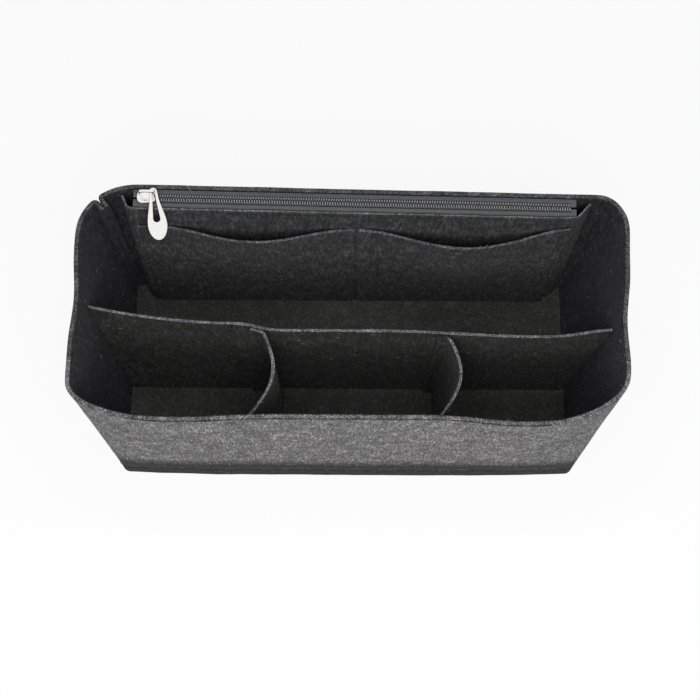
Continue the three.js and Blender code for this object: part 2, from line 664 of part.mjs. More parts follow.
function fromManifold(solid) {
  const mesh = solid.getMesh();
  const geometry = new THREE.BufferGeometry();
  geometry.setAttribute('position', new THREE.Float32BufferAttribute(mesh.vertProperties, 3));
  geometry.setIndex(Array.from(mesh.triVerts));
  return geometry;
}

// Slider: two plates joined by the diamond, flanges round the coil and a bail on top
const PLATE_BOTTOM = COIL_TOP + RUNNING_GAP;
const PLATE_TOP = PLATE_BOTTOM + SLIDER_PLATE;
const FLANGE_INNER = COIL_HALF_WIDTH + RUNNING_GAP;
const FLANGE_OUTER = FLANGE_INNER + FLANGE_THICKNESS;
const SLIDER_TAIL_HALF_WIDTH = FLANGE_OUTER + FLANGE_INSET;

// Shield outline: a rounded wide throat on the left and a narrower rounded tail on the right
function shieldShape(shrink) {
  const half = SLIDER_LENGTH / 2 - shrink;
  const throat = SLIDER_THROAT_HALF_WIDTH - shrink;
  const tail = SLIDER_TAIL_HALF_WIDTH - shrink;
  const throatX = -half + SLIDER_THROAT_ROUND;
  const tailX = half - SLIDER_TAIL_ROUND;
  const shape = new THREE.Shape();
  shape.moveTo(throatX, -throat);
  shape.quadraticCurveTo(0, -throat, tailX, -tail);
  shape.quadraticCurveTo(half, -tail, half, -tail + SLIDER_TAIL_ROUND);
  shape.lineTo(half, tail - SLIDER_TAIL_ROUND);
  shape.quadraticCurveTo(half, tail, tailX, tail);
  shape.quadraticCurveTo(0, throat, throatX, throat);
  shape.absellipse(throatX, 0, SLIDER_THROAT_ROUND, throat, Math.PI / 2, Math.PI * 1.5);
  return shape;
}

function bailShape() {
  const windowTop = PLATE_TOP + BAIL_WINDOW_HEIGHT;
  const right = SLIDER_LENGTH / 2 - BAIL_LEG_INSET;
  const left = right - BAIL_LENGTH;
  const top = windowTop + BAIL_BAR;
  const round = BAIL_ROUND;
  const foot = PLATE_TOP - SLIDER_PLATE / 2;
  const shape = new THREE.Shape();
  shape.moveTo(left, foot);
  shape.lineTo(left + BAIL_LEG, foot);
  shape.lineTo(left + BAIL_LEG, windowTop - round);
  shape.quadraticCurveTo(left + BAIL_LEG, windowTop, left + BAIL_LEG + round, windowTop);
  shape.lineTo(right - BAIL_LEG, windowTop);
  shape.lineTo(right - BAIL_LEG, foot);
  shape.lineTo(right, foot);
  shape.lineTo(right, top - BAIL_BAR);
  shape.quadraticCurveTo(right, top, right - BAIL_BAR, top);
  shape.lineTo(left + round, top);
  shape.quadraticCurveTo(left, top, left, top - round);
  return shape;
}

function sliderGeometry() {
  const topPlate = upFromZip(shieldShape(0), PLATE_BOTTOM, PLATE_TOP, SLIDER_PLATE_CHAMFER);
  const bottomTop = -RUNNING_GAP;
  const bottomShape = shieldShape(SLIDER_BOTTOM_INSET);
  const bottomPlate = upFromZip(bottomShape, bottomTop - SLIDER_BOTTOM_PLATE, bottomTop);
  const diamondLeft = -SLIDER_LENGTH / 2 + DIAMOND_INSET;
  const diamond = upFromZip(polygon([
    [diamondLeft, 0],
    [diamondLeft + DIAMOND_LENGTH / 2, -DIAMOND_HALF_WIDTH],
    [diamondLeft + DIAMOND_LENGTH, 0],
    [diamondLeft + DIAMOND_LENGTH / 2, DIAMOND_HALF_WIDTH],
  ]), bottomTop - SLIDER_BOTTOM_PLATE / 2, PLATE_BOTTOM + SLIDER_PLATE / 2);
  const flange = (towards) => upFromZip(polygon([
    [-FLANGE_LENGTH / 2, towards * FLANGE_INNER],
    [FLANGE_LENGTH / 2, towards * FLANGE_INNER],
    [FLANGE_LENGTH / 2, towards * FLANGE_OUTER],
    [-FLANGE_LENGTH / 2, towards * FLANGE_OUTER],
  ]), COIL_BOTTOM, PLATE_BOTTOM + SLIDER_PLATE / 2);
  const bail = new THREE.ExtrudeGeometry(bailShape(), {
    depth: BAIL_THICKNESS,
    bevelEnabled: false,
    curveSegments: 5,
  });
  bail.rotateX(Math.PI / 2).translate(0, BAIL_THICKNESS / 2, 0);
  let solid = toManifold(topPlate);
  for (const piece of [bottomPlate, diamond, flange(1), flange(-1), bail]) {
    solid = solid.add(toManifold(piece));
  }
  return fromManifold(solid);
}
const slider = addMesh(zip, 'zip_slider', sliderGeometry(), brightMetal);
slider.position.x = SLIDER_X;

// Pull: outline and slot along its own length, from the eye at the top to the rounded tip
function pullShape() {
  const y = (s) => PULL_PIVOT - s;
  const eye = PULL_EYE_HALF_WIDTH;
  const belly = PULL_HALF_WIDTH;
  const shape = new THREE.Shape();
  shape.absellipse(0, y(eye), eye, eye, 0, Math.PI);
  shape.bezierCurveTo(-eye, y(PULL_NECK_AT), -belly, y(PULL_SHOULDER_AT), -belly, y(PULL_WIDEST_AT));
  shape.absellipse(0, y(PULL_WIDEST_AT), belly, PULL_LENGTH - PULL_WIDEST_AT, Math.PI, 2 * Math.PI);
  shape.bezierCurveTo(belly, y(PULL_SHOULDER_AT), eye, y(PULL_NECK_AT), eye, y(eye));
  const slot = new THREE.Path();
  slot.moveTo(-SLOT_EYE_HALF_WIDTH, y(SLOT_START));
  slot.lineTo(SLOT_EYE_HALF_WIDTH, y(SLOT_START));
  slot.lineTo(SLOT_EYE_HALF_WIDTH, y(SLOT_NECK_AT));
  slot.lineTo(SLOT_HALF_WIDTH, y(SLOT_END - SLOT_HALF_WIDTH));
  slot.absarc(0, y(SLOT_END - SLOT_HALF_WIDTH), SLOT_HALF_WIDTH, 0, -Math.PI, true);
  slot.lineTo(-SLOT_EYE_HALF_WIDTH, y(SLOT_NECK_AT));
  slot.closePath();
  shape.holes.push(slot);
  return shape;
}
const pullHinge = new THREE.Group();
const LEG_X = SLIDER_LENGTH / 2 - BAIL_LEG_INSET - BAIL_LEG / 2;
pullHinge.position.set(SLIDER_X + LEG_X, 0, PLATE_TOP + PULL_ABOVE_PLATE);
pullHinge.rotation.x = THREE.MathUtils.degToRad(PULL_SLOPE);
zip.add(pullHinge);
const pullGeometry = upFromZip(pullShape(), -PULL_THICKNESS / 2, PULL_THICKNESS / 2, PULL_CHAMFER);
const pull = addMesh(pullHinge, 'zip_pull', pullGeometry, brightMetal);
pull.rotation.z = THREE.MathUtils.degToRad(PULL_TURN);

export default organizer;
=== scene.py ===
# %% [markdown]
# # A felt purse organizer insert
# The object is an open box sewn from needle felt: one wall strip round a base tray, three dividers,
# a slip pocket panel and a zipped rear pocket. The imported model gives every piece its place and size.
# This lesson gives the pieces their felt, thread, zip coil and bright metal, without moving any of them.

# %% Load the frame
import json
import math

import bmesh
import bpy
from mathutils import Matrix, Vector, noise
from mathutils.bvhtree import BVHTree


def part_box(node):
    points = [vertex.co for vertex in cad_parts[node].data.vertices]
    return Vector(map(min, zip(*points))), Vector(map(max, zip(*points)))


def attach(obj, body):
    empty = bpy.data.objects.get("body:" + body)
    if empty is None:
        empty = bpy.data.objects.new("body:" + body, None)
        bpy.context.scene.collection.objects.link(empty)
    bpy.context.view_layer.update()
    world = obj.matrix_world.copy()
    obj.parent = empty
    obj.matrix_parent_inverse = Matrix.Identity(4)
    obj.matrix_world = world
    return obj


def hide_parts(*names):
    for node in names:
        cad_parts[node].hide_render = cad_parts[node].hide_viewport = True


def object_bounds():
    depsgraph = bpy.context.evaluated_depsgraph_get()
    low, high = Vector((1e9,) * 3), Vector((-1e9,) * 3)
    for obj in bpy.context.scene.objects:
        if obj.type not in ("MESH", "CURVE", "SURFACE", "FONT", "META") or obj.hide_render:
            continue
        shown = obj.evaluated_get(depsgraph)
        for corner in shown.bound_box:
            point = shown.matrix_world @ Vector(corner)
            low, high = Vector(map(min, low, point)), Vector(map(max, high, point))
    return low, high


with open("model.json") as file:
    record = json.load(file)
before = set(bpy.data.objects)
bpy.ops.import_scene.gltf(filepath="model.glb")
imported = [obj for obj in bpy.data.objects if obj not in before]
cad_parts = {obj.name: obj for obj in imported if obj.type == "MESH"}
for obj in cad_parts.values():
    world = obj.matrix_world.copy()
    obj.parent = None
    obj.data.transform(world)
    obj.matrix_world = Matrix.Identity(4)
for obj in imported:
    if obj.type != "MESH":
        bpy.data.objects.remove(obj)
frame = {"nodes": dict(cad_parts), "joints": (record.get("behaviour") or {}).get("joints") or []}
cad_low, cad_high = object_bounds()
MM = 0.001
scene = bpy.context.scene
scene.view_settings.view_transform = "Standard"
print("CAD box in mm:", [round(side / MM, 1) for side in cad_high - cad_low])

# %% [markdown]
# ## Camera
# The picture looks down into the box from the front, so the inside shows more than the front face.
# A long lens far away could flatten the box too much, and a short one would splay its walls. The focal
# length is written as a multiple of the picture's width, because that is what sets the perspective.

# %% Camera
CAMERA_TARGET = Vector((1.2, -4.7, 60)) * MM
CAMERA_DISTANCE = 900 * MM
CAMERA_ELEVATION = math.radians(70)
CAMERA_ROLL = math.radians(0.3)
SENSOR_WIDTH = 36
FOCAL_LENGTH_IN_PICTURE_WIDTHS = 2.214


def add_camera():
    data = bpy.data.cameras.new("picture_camera")
    data.sensor_width = SENSOR_WIDTH
    data.lens = SENSOR_WIDTH * FOCAL_LENGTH_IN_PICTURE_WIDTHS
    data.clip_end = 20
    camera = bpy.data.objects.new("picture_camera", data)
    towards = Vector((0, -math.cos(CAMERA_ELEVATION), math.sin(CAMERA_ELEVATION)))
    camera.location = CAMERA_TARGET + towards * CAMERA_DISTANCE
    turned = towards.to_track_quat("Z", "Y").to_matrix().to_4x4()
    camera.rotation_euler = (turned @ Matrix.Rotation(CAMERA_ROLL, 4, "Z")).to_euler()
    scene.collection.objects.link(camera)
    scene.camera = camera
    return camera


camera = add_camera()
print("Camera at mm:", [round(value / MM) for value in camera.location])

# %% [markdown]
# ## Helpers for nodes and meshes
# Each finish and light below is a small tree of nodes. One could build them by hand in the shader editor, but
# a script can repeat and measure them. These helpers add a node, a material or a mesh in one line, so the
# later cells read as lists of what goes where.

# %% Node helpers
WHITE = (1, 1, 1, 1)


def set_inputs(tree, node, values):
    """Sets inputs of a node. A value that is another node's socket is linked."""
    for name, value in values.items():
        if isinstance(value, bpy.types.NodeSocket):
            tree.links.new(value, node.inputs[name])
        else:
            node.inputs[name].default_value = value


def add_node(tree, kind, values=None, **settings):
    """Adds a node with its settings, and then sets its inputs."""
    node = tree.nodes.new(kind)
    for key, value in settings.items():
        setattr(node, key, value)
    set_inputs(tree, node, values or {})
    return node


def worked_out(tree, operation, *values):
    """The result of one step of arithmetic on numbers and sockets."""
    return add_node(tree, "ShaderNodeMath", dict(enumerate(values)), operation=operation).outputs[0]


def rising(tree, value, low, high):
    """Zero up to low, one from high on, and a straight line between them."""
    values = {"Value": value, "From Min": low, "From Max": high}
    return add_node(tree, "ShaderNodeMapRange", values).outputs["Result"]


def object_place(tree):
    """Object coordinates, which lie still on a piece when its body moves."""
    return add_node(tree, "ShaderNodeTexCoord").outputs["Object"]


def height_of(tree):
    return add_node(tree, "ShaderNodeSeparateXYZ", {0: object_place(tree)}).outputs["Z"]


def new_material(name, values):
    """A material, its tree and its shader, whose inputs take the values."""
    material = bpy.data.materials.new(name)
    material.use_nodes = True
    tree = material.node_tree
    shader = tree.nodes["Principled BSDF"]
    set_inputs(tree, shader, values)
    return material, tree, shader


def color_ramp(tree, shade, stops):
    """The colour of a shade between zero and one, from a list of places and their colours."""
    ramp = add_node(tree, "ShaderNodeValToRGB", {"Fac": shade})
    elements = ramp.color_ramp.elements
    first, *between, last = stops
    for element, (position, color) in zip(elements, (first, last)):
        element.position = position
        element.color = (*color, 1)
    for position, color in between:
        elements.new(position).color = (*color, 1)
    return ramp.outputs["Color"]


def bumped(tree, height, strength, distance):
    values = {"Height": height, "Strength": strength, "Distance": distance}
    return add_node(tree, "ShaderNodeBump", values).outputs["Normal"]


# %% Mesh helpers
def link_object(name, data):
    piece = bpy.data.objects.new(name, data)
    scene.collection.objects.link(piece)
    return piece


def mesh_from(bm, name):
    """Writes an edited mesh out under a name and frees the edit."""
    mesh = bpy.data.meshes.new(name)
    bm.to_mesh(mesh)
    bm.free()
    return mesh


def keep_result(piece):
    """Makes what the modifiers give the piece's plain mesh, and removes them."""
    bpy.context.view_layer.update()
    evaluated = piece.evaluated_get(bpy.context.evaluated_depsgraph_get())
    mesh = bpy.data.meshes.new_from_object(evaluated)
    mesh.name = piece.name
    piece.modifiers.clear()
    piece.data = mesh
    return piece


def applied(piece, modifier_type, **settings):
    """Adds one modifier to a piece and keeps its result."""
    modifier = piece.modifiers.new(modifier_type.lower(), modifier_type)
    for key, value in settings.items():
        setattr(modifier, key, value)
    return keep_result(piece)


# %% [markdown]
# ## Floor and light
# The insert stands on a pale sheet. One long softbox hangs over it and towards the camera, so it reaches the
# floor of the box and the panels that face the front, and hardly the side walls. A small weak one straight
# above lights the floor behind the long divider, and a weak even sky fills in.
# Camera and mirror rays see the sky and the sheet as white. The sheet still takes the insert's shadow.
# The softboxes are left out of mirror rays, because their reflections would burn the bright metal out.

# %% Floor and light
FLOOR_SIZE = 6.0
FLOOR_CELLS = 8
FLOOR_GAP = 0.2 * MM
FLOOR_COLOR = (0.86, 0.86, 0.86, 1)
FLOOR_GLOW_SHARE = 0.9
SKY_STRENGTH = 0.3
SOFTBOX_AIM = Vector((0, 0, 80)) * MM
# Place, size and power of each softbox.
SOFTBOXES = {
    "long_softbox": (Vector((10, -430, 640)) * MM, (420 * MM, 520 * MM), 4.6),
    "top_softbox": (Vector((0, 85, 820)) * MM, (300 * MM, 130 * MM), 0.9),
}


def seen_directly(tree):
    """One for camera, glossy and transmission rays, which show a thing, and zero for those that light."""
    path = add_node(tree, "ShaderNodeLightPath").outputs
    seen = worked_out(tree, "MAXIMUM", path["Is Camera Ray"], path["Is Glossy Ray"])
    return worked_out(tree, "MAXIMUM", seen, path["Is Transmission Ray"])


def show_white(tree, lit, white, output, share=1.0):
    """Gives a share of a white shader to rays that see a thing directly, and the lit one to all others."""
    amount = worked_out(tree, "MULTIPLY", seen_directly(tree), share)
    mix = add_node(tree, "ShaderNodeMixShader", {0: amount, 1: lit.outputs[0], 2: white.outputs[0]})
    set_inputs(tree, tree.nodes[output], {"Surface": mix.outputs[0]})


def add_floor():
    bm = bmesh.new()
    bmesh.ops.create_grid(bm, x_segments=FLOOR_CELLS, y_segments=FLOOR_CELLS, size=FLOOR_SIZE / 2)
    floor = link_object("floor_sheet", mesh_from(bm, "floor_sheet"))
    floor.location.z = cad_low.z - FLOOR_GAP
    material, tree, paper = new_material("pale_sheet", {
        "Base Color": FLOOR_COLOR, "Roughness": 0.9, "Specular IOR Level": 0,
    })
    glow = add_node(tree, "ShaderNodeEmission")
    show_white(tree, paper, glow, "Material Output", FLOOR_GLOW_SHARE)
    floor.data.materials.append(material)


def add_sky():
    world = bpy.data.worlds.new("pale_sky")
    world.use_nodes = True
    tree = world.node_tree
    lighting = tree.nodes["Background"]
    set_inputs(tree, lighting, {"Strength": SKY_STRENGTH, "Color": WHITE})
    backdrop = add_node(tree, "ShaderNodeBackground", {"Color": WHITE})
    show_white(tree, lighting, backdrop, "World Output")
    scene.world = world


def add_softbox(name, place, size, power):
    data = bpy.data.lights.new(name, "AREA")
    data.shape = "RECTANGLE"
    data.size, data.size_y = size
    data.energy = power
    softbox = link_object(name, data)
    softbox.location = place
    softbox.rotation_euler = (place - SOFTBOX_AIM).to_track_quat("Z", "Y").to_euler()
    softbox.visible_glossy = False


add_floor()
add_sky()
for name, (place, size, power) in SOFTBOXES.items():
    add_softbox(name, place, size, power)
print("Softboxes:", list(SOFTBOXES))

# %% [markdown]
# ## Felt finish
# Needle felt is a mat of grey, charcoal and pale fibres, so up close it is speckled, never one colour.
# An image could carry the speckle, but noise on Object coordinates needs no picture and has no seams.
# Three layers add up: clouds a few millimetres wide, single specks, and fibres drawn out three ways.
# Sheen stands for the fuzz that brightens felt at a grazing angle. The wall's darker foot is painted shade,
# and the panels inside are paler towards the floor, which is painted light. A felt can blend into such a
# foot.

# %% Felt noise
FELT_CLOUD_SIZE = 7 * MM
FELT_SPECK_SIZE = 1.1 * MM
FELT_FIBRE_WIDTH = 0.75 * MM
FELT_FIBRE_LENGTH = 3.6 * MM
FELT_FIBRE_TURNS = ((0.6, 0.9, 0.3), (-0.7, 0.5, 1.2), (1.5, 0.2, 0.8))
FELT_CURL_SIZE = 4 * MM
FELT_CURL = 1.6 * MM


def fibre_noise(tree, coordinates, size, stretch=1, turn=(0, 0, 0), detail=2):
    """A noise value whose marks are about size across, drawn out along one turned direction."""
    mapping = add_node(tree, "ShaderNodeMapping", {
        "Vector": coordinates, "Rotation": turn, "Scale": (1 / size, 1 / size, 1 / (size * stretch)),
    })
    texture = add_node(tree, "ShaderNodeTexNoise", {
        "Vector": mapping.outputs[0], "Scale": 1, "Detail": detail, "Roughness": 0.6,
    })
    return texture.outputs["Fac"]


def curled(tree, coordinates):
    """Coordinates shifted by a broad noise, so that fibres drawn out along them curl."""
    broad = add_node(tree, "ShaderNodeTexNoise", {"Vector": coordinates, "Scale": 1 / FELT_CURL_SIZE})
    shift = {0: broad.outputs["Color"], 1: (FELT_CURL, FELT_CURL, FELT_CURL), 2: coordinates}
    return add_node(tree, "ShaderNodeVectorMath", shift, operation="MULTIPLY_ADD").outputs[0]


def weighted_sum(tree, parts):
    """One half, plus each socket less one half and times its weight."""
    total = 0.5 - sum(weight for _, weight in parts) / 2
    for socket, weight in parts:
        total = worked_out(tree, "MULTIPLY_ADD", socket, weight, total)
    return total


# %% Felt finish
CLOUD_SHADE = 1.1
SPECK_SHADE = 1.1
FIBRE_SHADE = 1.2
SPECK_BUMP = 0.6
FIBRE_BUMP = 0.8
FELT_BUMP_HEIGHT = 0.35 * MM
FOOT_RAGGED = 3 * MM


def blend_foot(tree, color, shade, level, below, above):
    """Multiplies a felt by one level below one height, and not above another; a level under one paints shade,
    over one light.
    """
    ragged = worked_out(tree, "MULTIPLY_ADD", shade, FOOT_RAGGED, height_of(tree))
    tint = add_node(tree, "ShaderNodeMix", {
        "Factor": rising(tree, ragged, below, above), "A": (level, level, level, 1), "B": WHITE,
    }, data_type="RGBA")
    tinted = add_node(tree, "ShaderNodeMix", {
        "Factor": 1, "A": color, "B": tint.outputs["Result"],
    }, data_type="RGBA", blend_type="MULTIPLY")
    return tinted.outputs["Result"]


def felt_finish(name, dark, middle, pale, contrast=1.0, grain=1.0, sheen=0.03, foot=None):
    """Speckled felt between three greys, with a foot of painted shade or of painted light where one is asked
    for.
    """
    material, tree, felt = new_material(name, {
        "Roughness": 0.95, "Specular IOR Level": 0.15, "Sheen Weight": sheen, "Sheen Roughness": 0.55,
    })
    place = curled(tree, object_place(tree))
    clouds = fibre_noise(tree, place, FELT_CLOUD_SIZE, detail=3)
    specks = fibre_noise(tree, place, FELT_SPECK_SIZE * grain, detail=1)
    stretch = FELT_FIBRE_LENGTH / FELT_FIBRE_WIDTH
    fibres = [fibre_noise(tree, place, FELT_FIBRE_WIDTH * grain, stretch, turn) for turn in FELT_FIBRE_TURNS]
    parts = [(clouds, CLOUD_SHADE * contrast), (specks, SPECK_SHADE * contrast)]
    shade = weighted_sum(tree, parts + [(fibre, FIBRE_SHADE * contrast) for fibre in fibres])
    color = color_ramp(tree, shade, [(0.05, dark), (0.5, middle), (0.95, pale)])
    if foot:
        color = blend_foot(tree, color, shade, *foot)
    height = weighted_sum(tree, [(specks, SPECK_BUMP)] + [(fibre, FIBRE_BUMP) for fibre in fibres])
    normal = bumped(tree, height, 0.5, FELT_BUMP_HEIGHT)
    set_inputs(tree, felt, {"Base Color": color, "Normal": normal})
    return material


# %% [markdown]
# The wall's outside is a pale heather grey. The inner panels, the wall's inner face and the tray are darker
# copies of
# the same felt: partly a darker tone, and mostly painted shade of the inside and the underside of the box.
# One level for all of them would be simpler, but each kind of panel has its own level of that shade, so each
# has its own three greys. A cut edge shows the loose inside of the felt, which is paler than its pressed
# face.

# %% Felts of this insert
# A foot's level, the height up to which it is full, and the height where it ends.
# The wall's darker foot is painted shade, where its felt curves under towards the base.
WALL_FOOT_SHADE = (0.1, 26 * MM, 40 * MM)
# The paler feet inside are painted light, which lifts the shade deep in the box near its floor.
PANEL_FOOT_LIGHT = (2.1, 8 * MM, 55 * MM)
WALL_INNER_FOOT_LIGHT = (2.4, 12 * MM, 70 * MM)
POCKET_FOOT_LIGHT = (1.5, 25 * MM, 112 * MM)


def grey(level, cool=1.05, warm=1.0):
    """A grey with its blue times cool and its red times warm."""
    return (level * warm, level, level * cool)


def greys(*levels, cool=1.05, warm=1.0):
    return [grey(level, cool, warm) for level in levels]


# The wall's outside, with a foot of painted shade.
felt_outside = felt_finish(
    "felt_outside_grey", *greys(0.045, 0.115, 0.34, cool=1.01, warm=1.03), contrast=0.8, grain=1.25,
    sheen=0.05, foot=WALL_FOOT_SHADE,
)
# Slip and zip panels: a darker copy of the wall's felt, mostly painted shade, with a foot of painted light.
felt_inside = felt_finish(
    "felt_inside_charcoal", *greys(0.0148, 0.038, 0.102), contrast=0.65, grain=1.8, foot=POCKET_FOOT_LIGHT
)
# Dividers: a darker copy of the wall's felt, mostly painted shade, with a foot of painted light.
felt_divider = felt_finish(
    "felt_divider_charcoal", *greys(0.01, 0.025, cool=0.93), grey(0.07), contrast=0.65, grain=1.8,
    foot=PANEL_FOOT_LIGHT,
)
# The inner face of the wall and of the tray: a still darker copy, painted shade of the box's dark corners,
# with a foot of painted light.
felt_wall_inner_shade = felt_finish(
    "felt_wall_inside", *greys(0.0074, 0.0188, cool=1.22), grey(0.05, 1.15), contrast=0.65, grain=1.8,
    foot=WALL_INNER_FOOT_LIGHT,
)
# The tray's floor: a darker copy of the wall's felt, mostly painted shade.
felt_floor = felt_finish("felt_floor", *greys(0.033, 0.08, cool=0.95), grey(0.2), contrast=0.4, grain=1.8)
# The tray's outside and underside: a very dark copy, painted shade where the felt curves under.
felt_base = felt_finish("felt_base_charcoal", *greys(0.006, 0.0135, 0.045))
felt_cut = felt_finish("felt_cut_edge", *greys(0.038, 0.099, 0.285), sheen=0.08)
# The slip pocket's mouth: a darker copy of the cut edge, painted shade deep in the box.
felt_mouth = felt_finish("felt_pocket_mouth", *greys(0.028, 0.073, 0.21), sheen=0.05)
# The side and rear rims: a darker copy of the cut edge, painted shade away from the softbox.
felt_shaded_rim = felt_finish("felt_side_rim", *greys(0.02, 0.058, 0.17), sheen=0.05)
# A dark line along some rounded edges: painted shade.
felt_edge_shade = felt_finish("felt_pressed_edge", *greys(0.012, 0.034, 0.13))
print("Nodes in the wall's felt:", len(felt_outside.node_tree.nodes))

# %% [markdown]
# ## Felt panels
# A felt panel is a sheet two to three millimetres thick with knife-cut edges that have gone a little soft.
# It could be a plane with Solidify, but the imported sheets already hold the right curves, so each panel
# starts as a merged copy of one. The copy is turned into quads, cut into even cells and bevelled along its
# cut edges. Subdivision then rounds it, and a slight noise gives the hand-made unevenness of felt.

# %% Felt panel builder
MERGE_DISTANCE = 0.01 * MM
SHARP_ANGLE = math.radians(50)
PANEL_JOIN_ANGLE = math.radians(40)
UPRIGHT_SHARE = 0.8
PANEL_CELL = 7 * MM
WALL_EDGE_ROUND = 0.55 * MM
THIN_EDGE_ROUND = 0.3 * MM
SUBDIVISION_LEVELS = 2
WAVE_SIZE = 22 * MM
WAVE_HEIGHT = 0.22 * MM
PILL_SIZE = 5 * MM
PILL_HEIGHT = 0.09 * MM


def merged_copy(node):
    bm = bmesh.new()
    bm.from_mesh(frame["nodes"][node].data)
    bmesh.ops.remove_doubles(bm, verts=bm.verts, dist=MERGE_DISTANCE)
    return bm


def join_quads(bm, bend):
    """Joins pairs of triangles that meet at less than an angle."""
    bmesh.ops.join_triangles(bm, faces=bm.faces, angle_face_threshold=bend, angle_shape_threshold=math.pi)


def edges_over(bm, angle):
    return [edge for edge in bm.edges if edge.calc_face_angle(0) > angle]


def round_edges(bm, edges, offset, segments=2, material=0):
    bmesh.ops.bevel(
        bm, geom=edges, offset=offset, offset_type="OFFSET", segments=segments, profile=0.5,
        affect="EDGES", clamp_overlap=True, material=material,
    )


def smooth_faces(bm):
    for face in bm.faces:
        face.smooth = True


def slice_mesh(bm, at, across):
    everything = [*bm.verts, *bm.edges, *bm.faces]
    bmesh.ops.bisect_plane(bm, geom=everything, plane_co=at, plane_no=across)


def is_cut_face(face, sharp):
    """A cut edge's face has two sharp sides that don't meet at a corner. Rims show it pale and fluffed."""
    sides = [edge for edge in face.edges if edge in sharp]
    return any(not set(a.verts) & set(b.verts) for a in sides for b in sides)


def cut_upright_edges(bm, cell):
    upright = [
        edge for edge in bm.edges
        if abs(edge.verts[0].co.z - edge.verts[1].co.z) > UPRIGHT_SHARE * edge.calc_length()
    ]
    longest = max(edge.calc_length() for edge in upright)
    cuts = max(1, round(longest / cell)) - 1
    if cuts:
        bmesh.ops.subdivide_edges(bm, edges=upright, cuts=cuts, use_grid_fill=True)


def roughen(mesh):
    """Moves each point a little along its normal, by broad waves and by small pills."""
    normals = [vertex.normal.copy() for vertex in mesh.vertices]
    for vertex, normal in zip(mesh.vertices, normals):
        wave = noise.noise(vertex.co / WAVE_SIZE)
        pill = noise.noise(vertex.co / PILL_SIZE)
        vertex.co += normal * (WAVE_HEIGHT * wave + PILL_HEIGHT * pill)


def felt_from_mesh(bm, node, finishes, choose, subdivision, edge_round):
    """Finishes a mesh of even cells as felt: edges rounded, subdivided and roughened.

    choose says which of the finishes a face takes, from the face and its kind: flat, cut or rounded.
    """
    sharp = set(edges_over(bm, SHARP_ANGLE))
    bm.normal_update()
    smooth_faces(bm)
    for face in bm.faces:
        face.material_index = choose(face, "cut" if is_cut_face(face, sharp) else "flat")
    rounded = len(finishes)
    round_edges(bm, list(sharp), edge_round, material=rounded)
    bm.normal_update()
    for face in bm.faces:
        if face.material_index == rounded:
            face.material_index = choose(face, "rounded")
    piece = link_object(node + "_felt", mesh_from(bm, node))
    for finish in finishes:
        piece.data.materials.append(finish)
    applied(
        piece, "SUBSURF", levels=SUBDIVISION_LEVELS, render_levels=SUBDIVISION_LEVELS,
        subdivision_type=subdivision,
    )
    roughen(piece.data)
    print(piece.name, "triangles:", sum(len(polygon.vertices) - 2 for polygon in piece.data.polygons))
    return piece


def felt_panel(node, finishes, choose, cell=PANEL_CELL, edge_round=THIN_EDGE_ROUND, seam=None):
    """One panel of felt. seam is the place along X of a row that presses it in, where it has one."""
    bm = merged_copy(node)
    join_quads(bm, PANEL_JOIN_ANGLE)
    cut_upright_edges(bm, cell)
    if seam is not None:
        cut_beside_seam(bm, seam)
    piece = felt_from_mesh(bm, node, finishes, choose, "CATMULL_CLARK", edge_round)
    if seam is not None:
        press_seam(piece.data, seam)
    return piece


# %% [markdown]
# The slip panel is sewn down along its middle, which makes two pockets of it. The thread draws the felt in,
# so the seam lies in a shallow groove. A bump could shade the groove, but the panel's top edge dips there
# too, so the mesh is cut beside the seam and its front is pushed in.

# %% Pressed seam
# How far a normal has to lean towards a direction to count as facing it.
FACING = 0.3
SLIP_SEAM_X = 4 * MM
SEAM_HALF_WIDTH = 1.5 * MM
SEAM_FOLD = 0.6 * MM
SEAM_DEPTH = 0.75 * MM


def cut_beside_seam(bm, seam):
    """Adds upright cuts at a seam and on both sides of it, so that the felt can bend in there."""
    for offset in (-SEAM_HALF_WIDTH, -SEAM_FOLD, 0, SEAM_FOLD, SEAM_HALF_WIDTH):
        slice_mesh(bm, Vector((seam + offset, 0, 0)), Vector((1, 0, 0)))


def press_seam(mesh, seam):
    """Draws the front of a panel in along one upright row of stitches."""
    beside = [vertex for vertex in mesh.vertices if abs(vertex.co.x - seam) < SEAM_HALF_WIDTH]
    for vertex in [vertex for vertex in beside if vertex.normal.y < FACING]:
        reach = abs(vertex.co.x - seam) / SEAM_HALF_WIDTH
        vertex.co.y += SEAM_DEPTH * (1 - reach ** 2) ** 2


# %% [markdown]
# One felt panel shows more than one finish: its two faces, its pale cut edge and a darker line of painted
# shade along an edge. They could be painted on, but the shape already tells them apart. So each kind of panel
# has
# a short rule, which gives a face the number of its finish from where it lies and which way it looks.

# %% Finish rules
# How far a normal has to point up on a face that counts as level.
LEVEL_FACE = 0.6
FRONT_RIM_Y = -35 * MM
FRONT_SHADE_LINE_REACH = 110 * MM
WALL_MIDDLE_HEIGHT = 60 * MM
SLIP_SHADED_LEFT_OF = -103 * MM
CROSS_TAB_DEPTH = 2.4 * MM
OUTSIDE, WALL_INNER_SHADE, FRONT_RIM, SIDE_RIM_SHADED, EDGE_SHADE = range(5)
PLAIN, EDGE, TAB_EDGE_SHADE = range(3)


def looks_out(face):
    """Whether a face looks away from the middle of the box."""
    middle = face.calc_center_median()
    inwards = Vector((-middle.x / cad_high.x, -middle.y / cad_high.y, 0)).normalized()
    return face.normal.dot(inwards) < -FACING


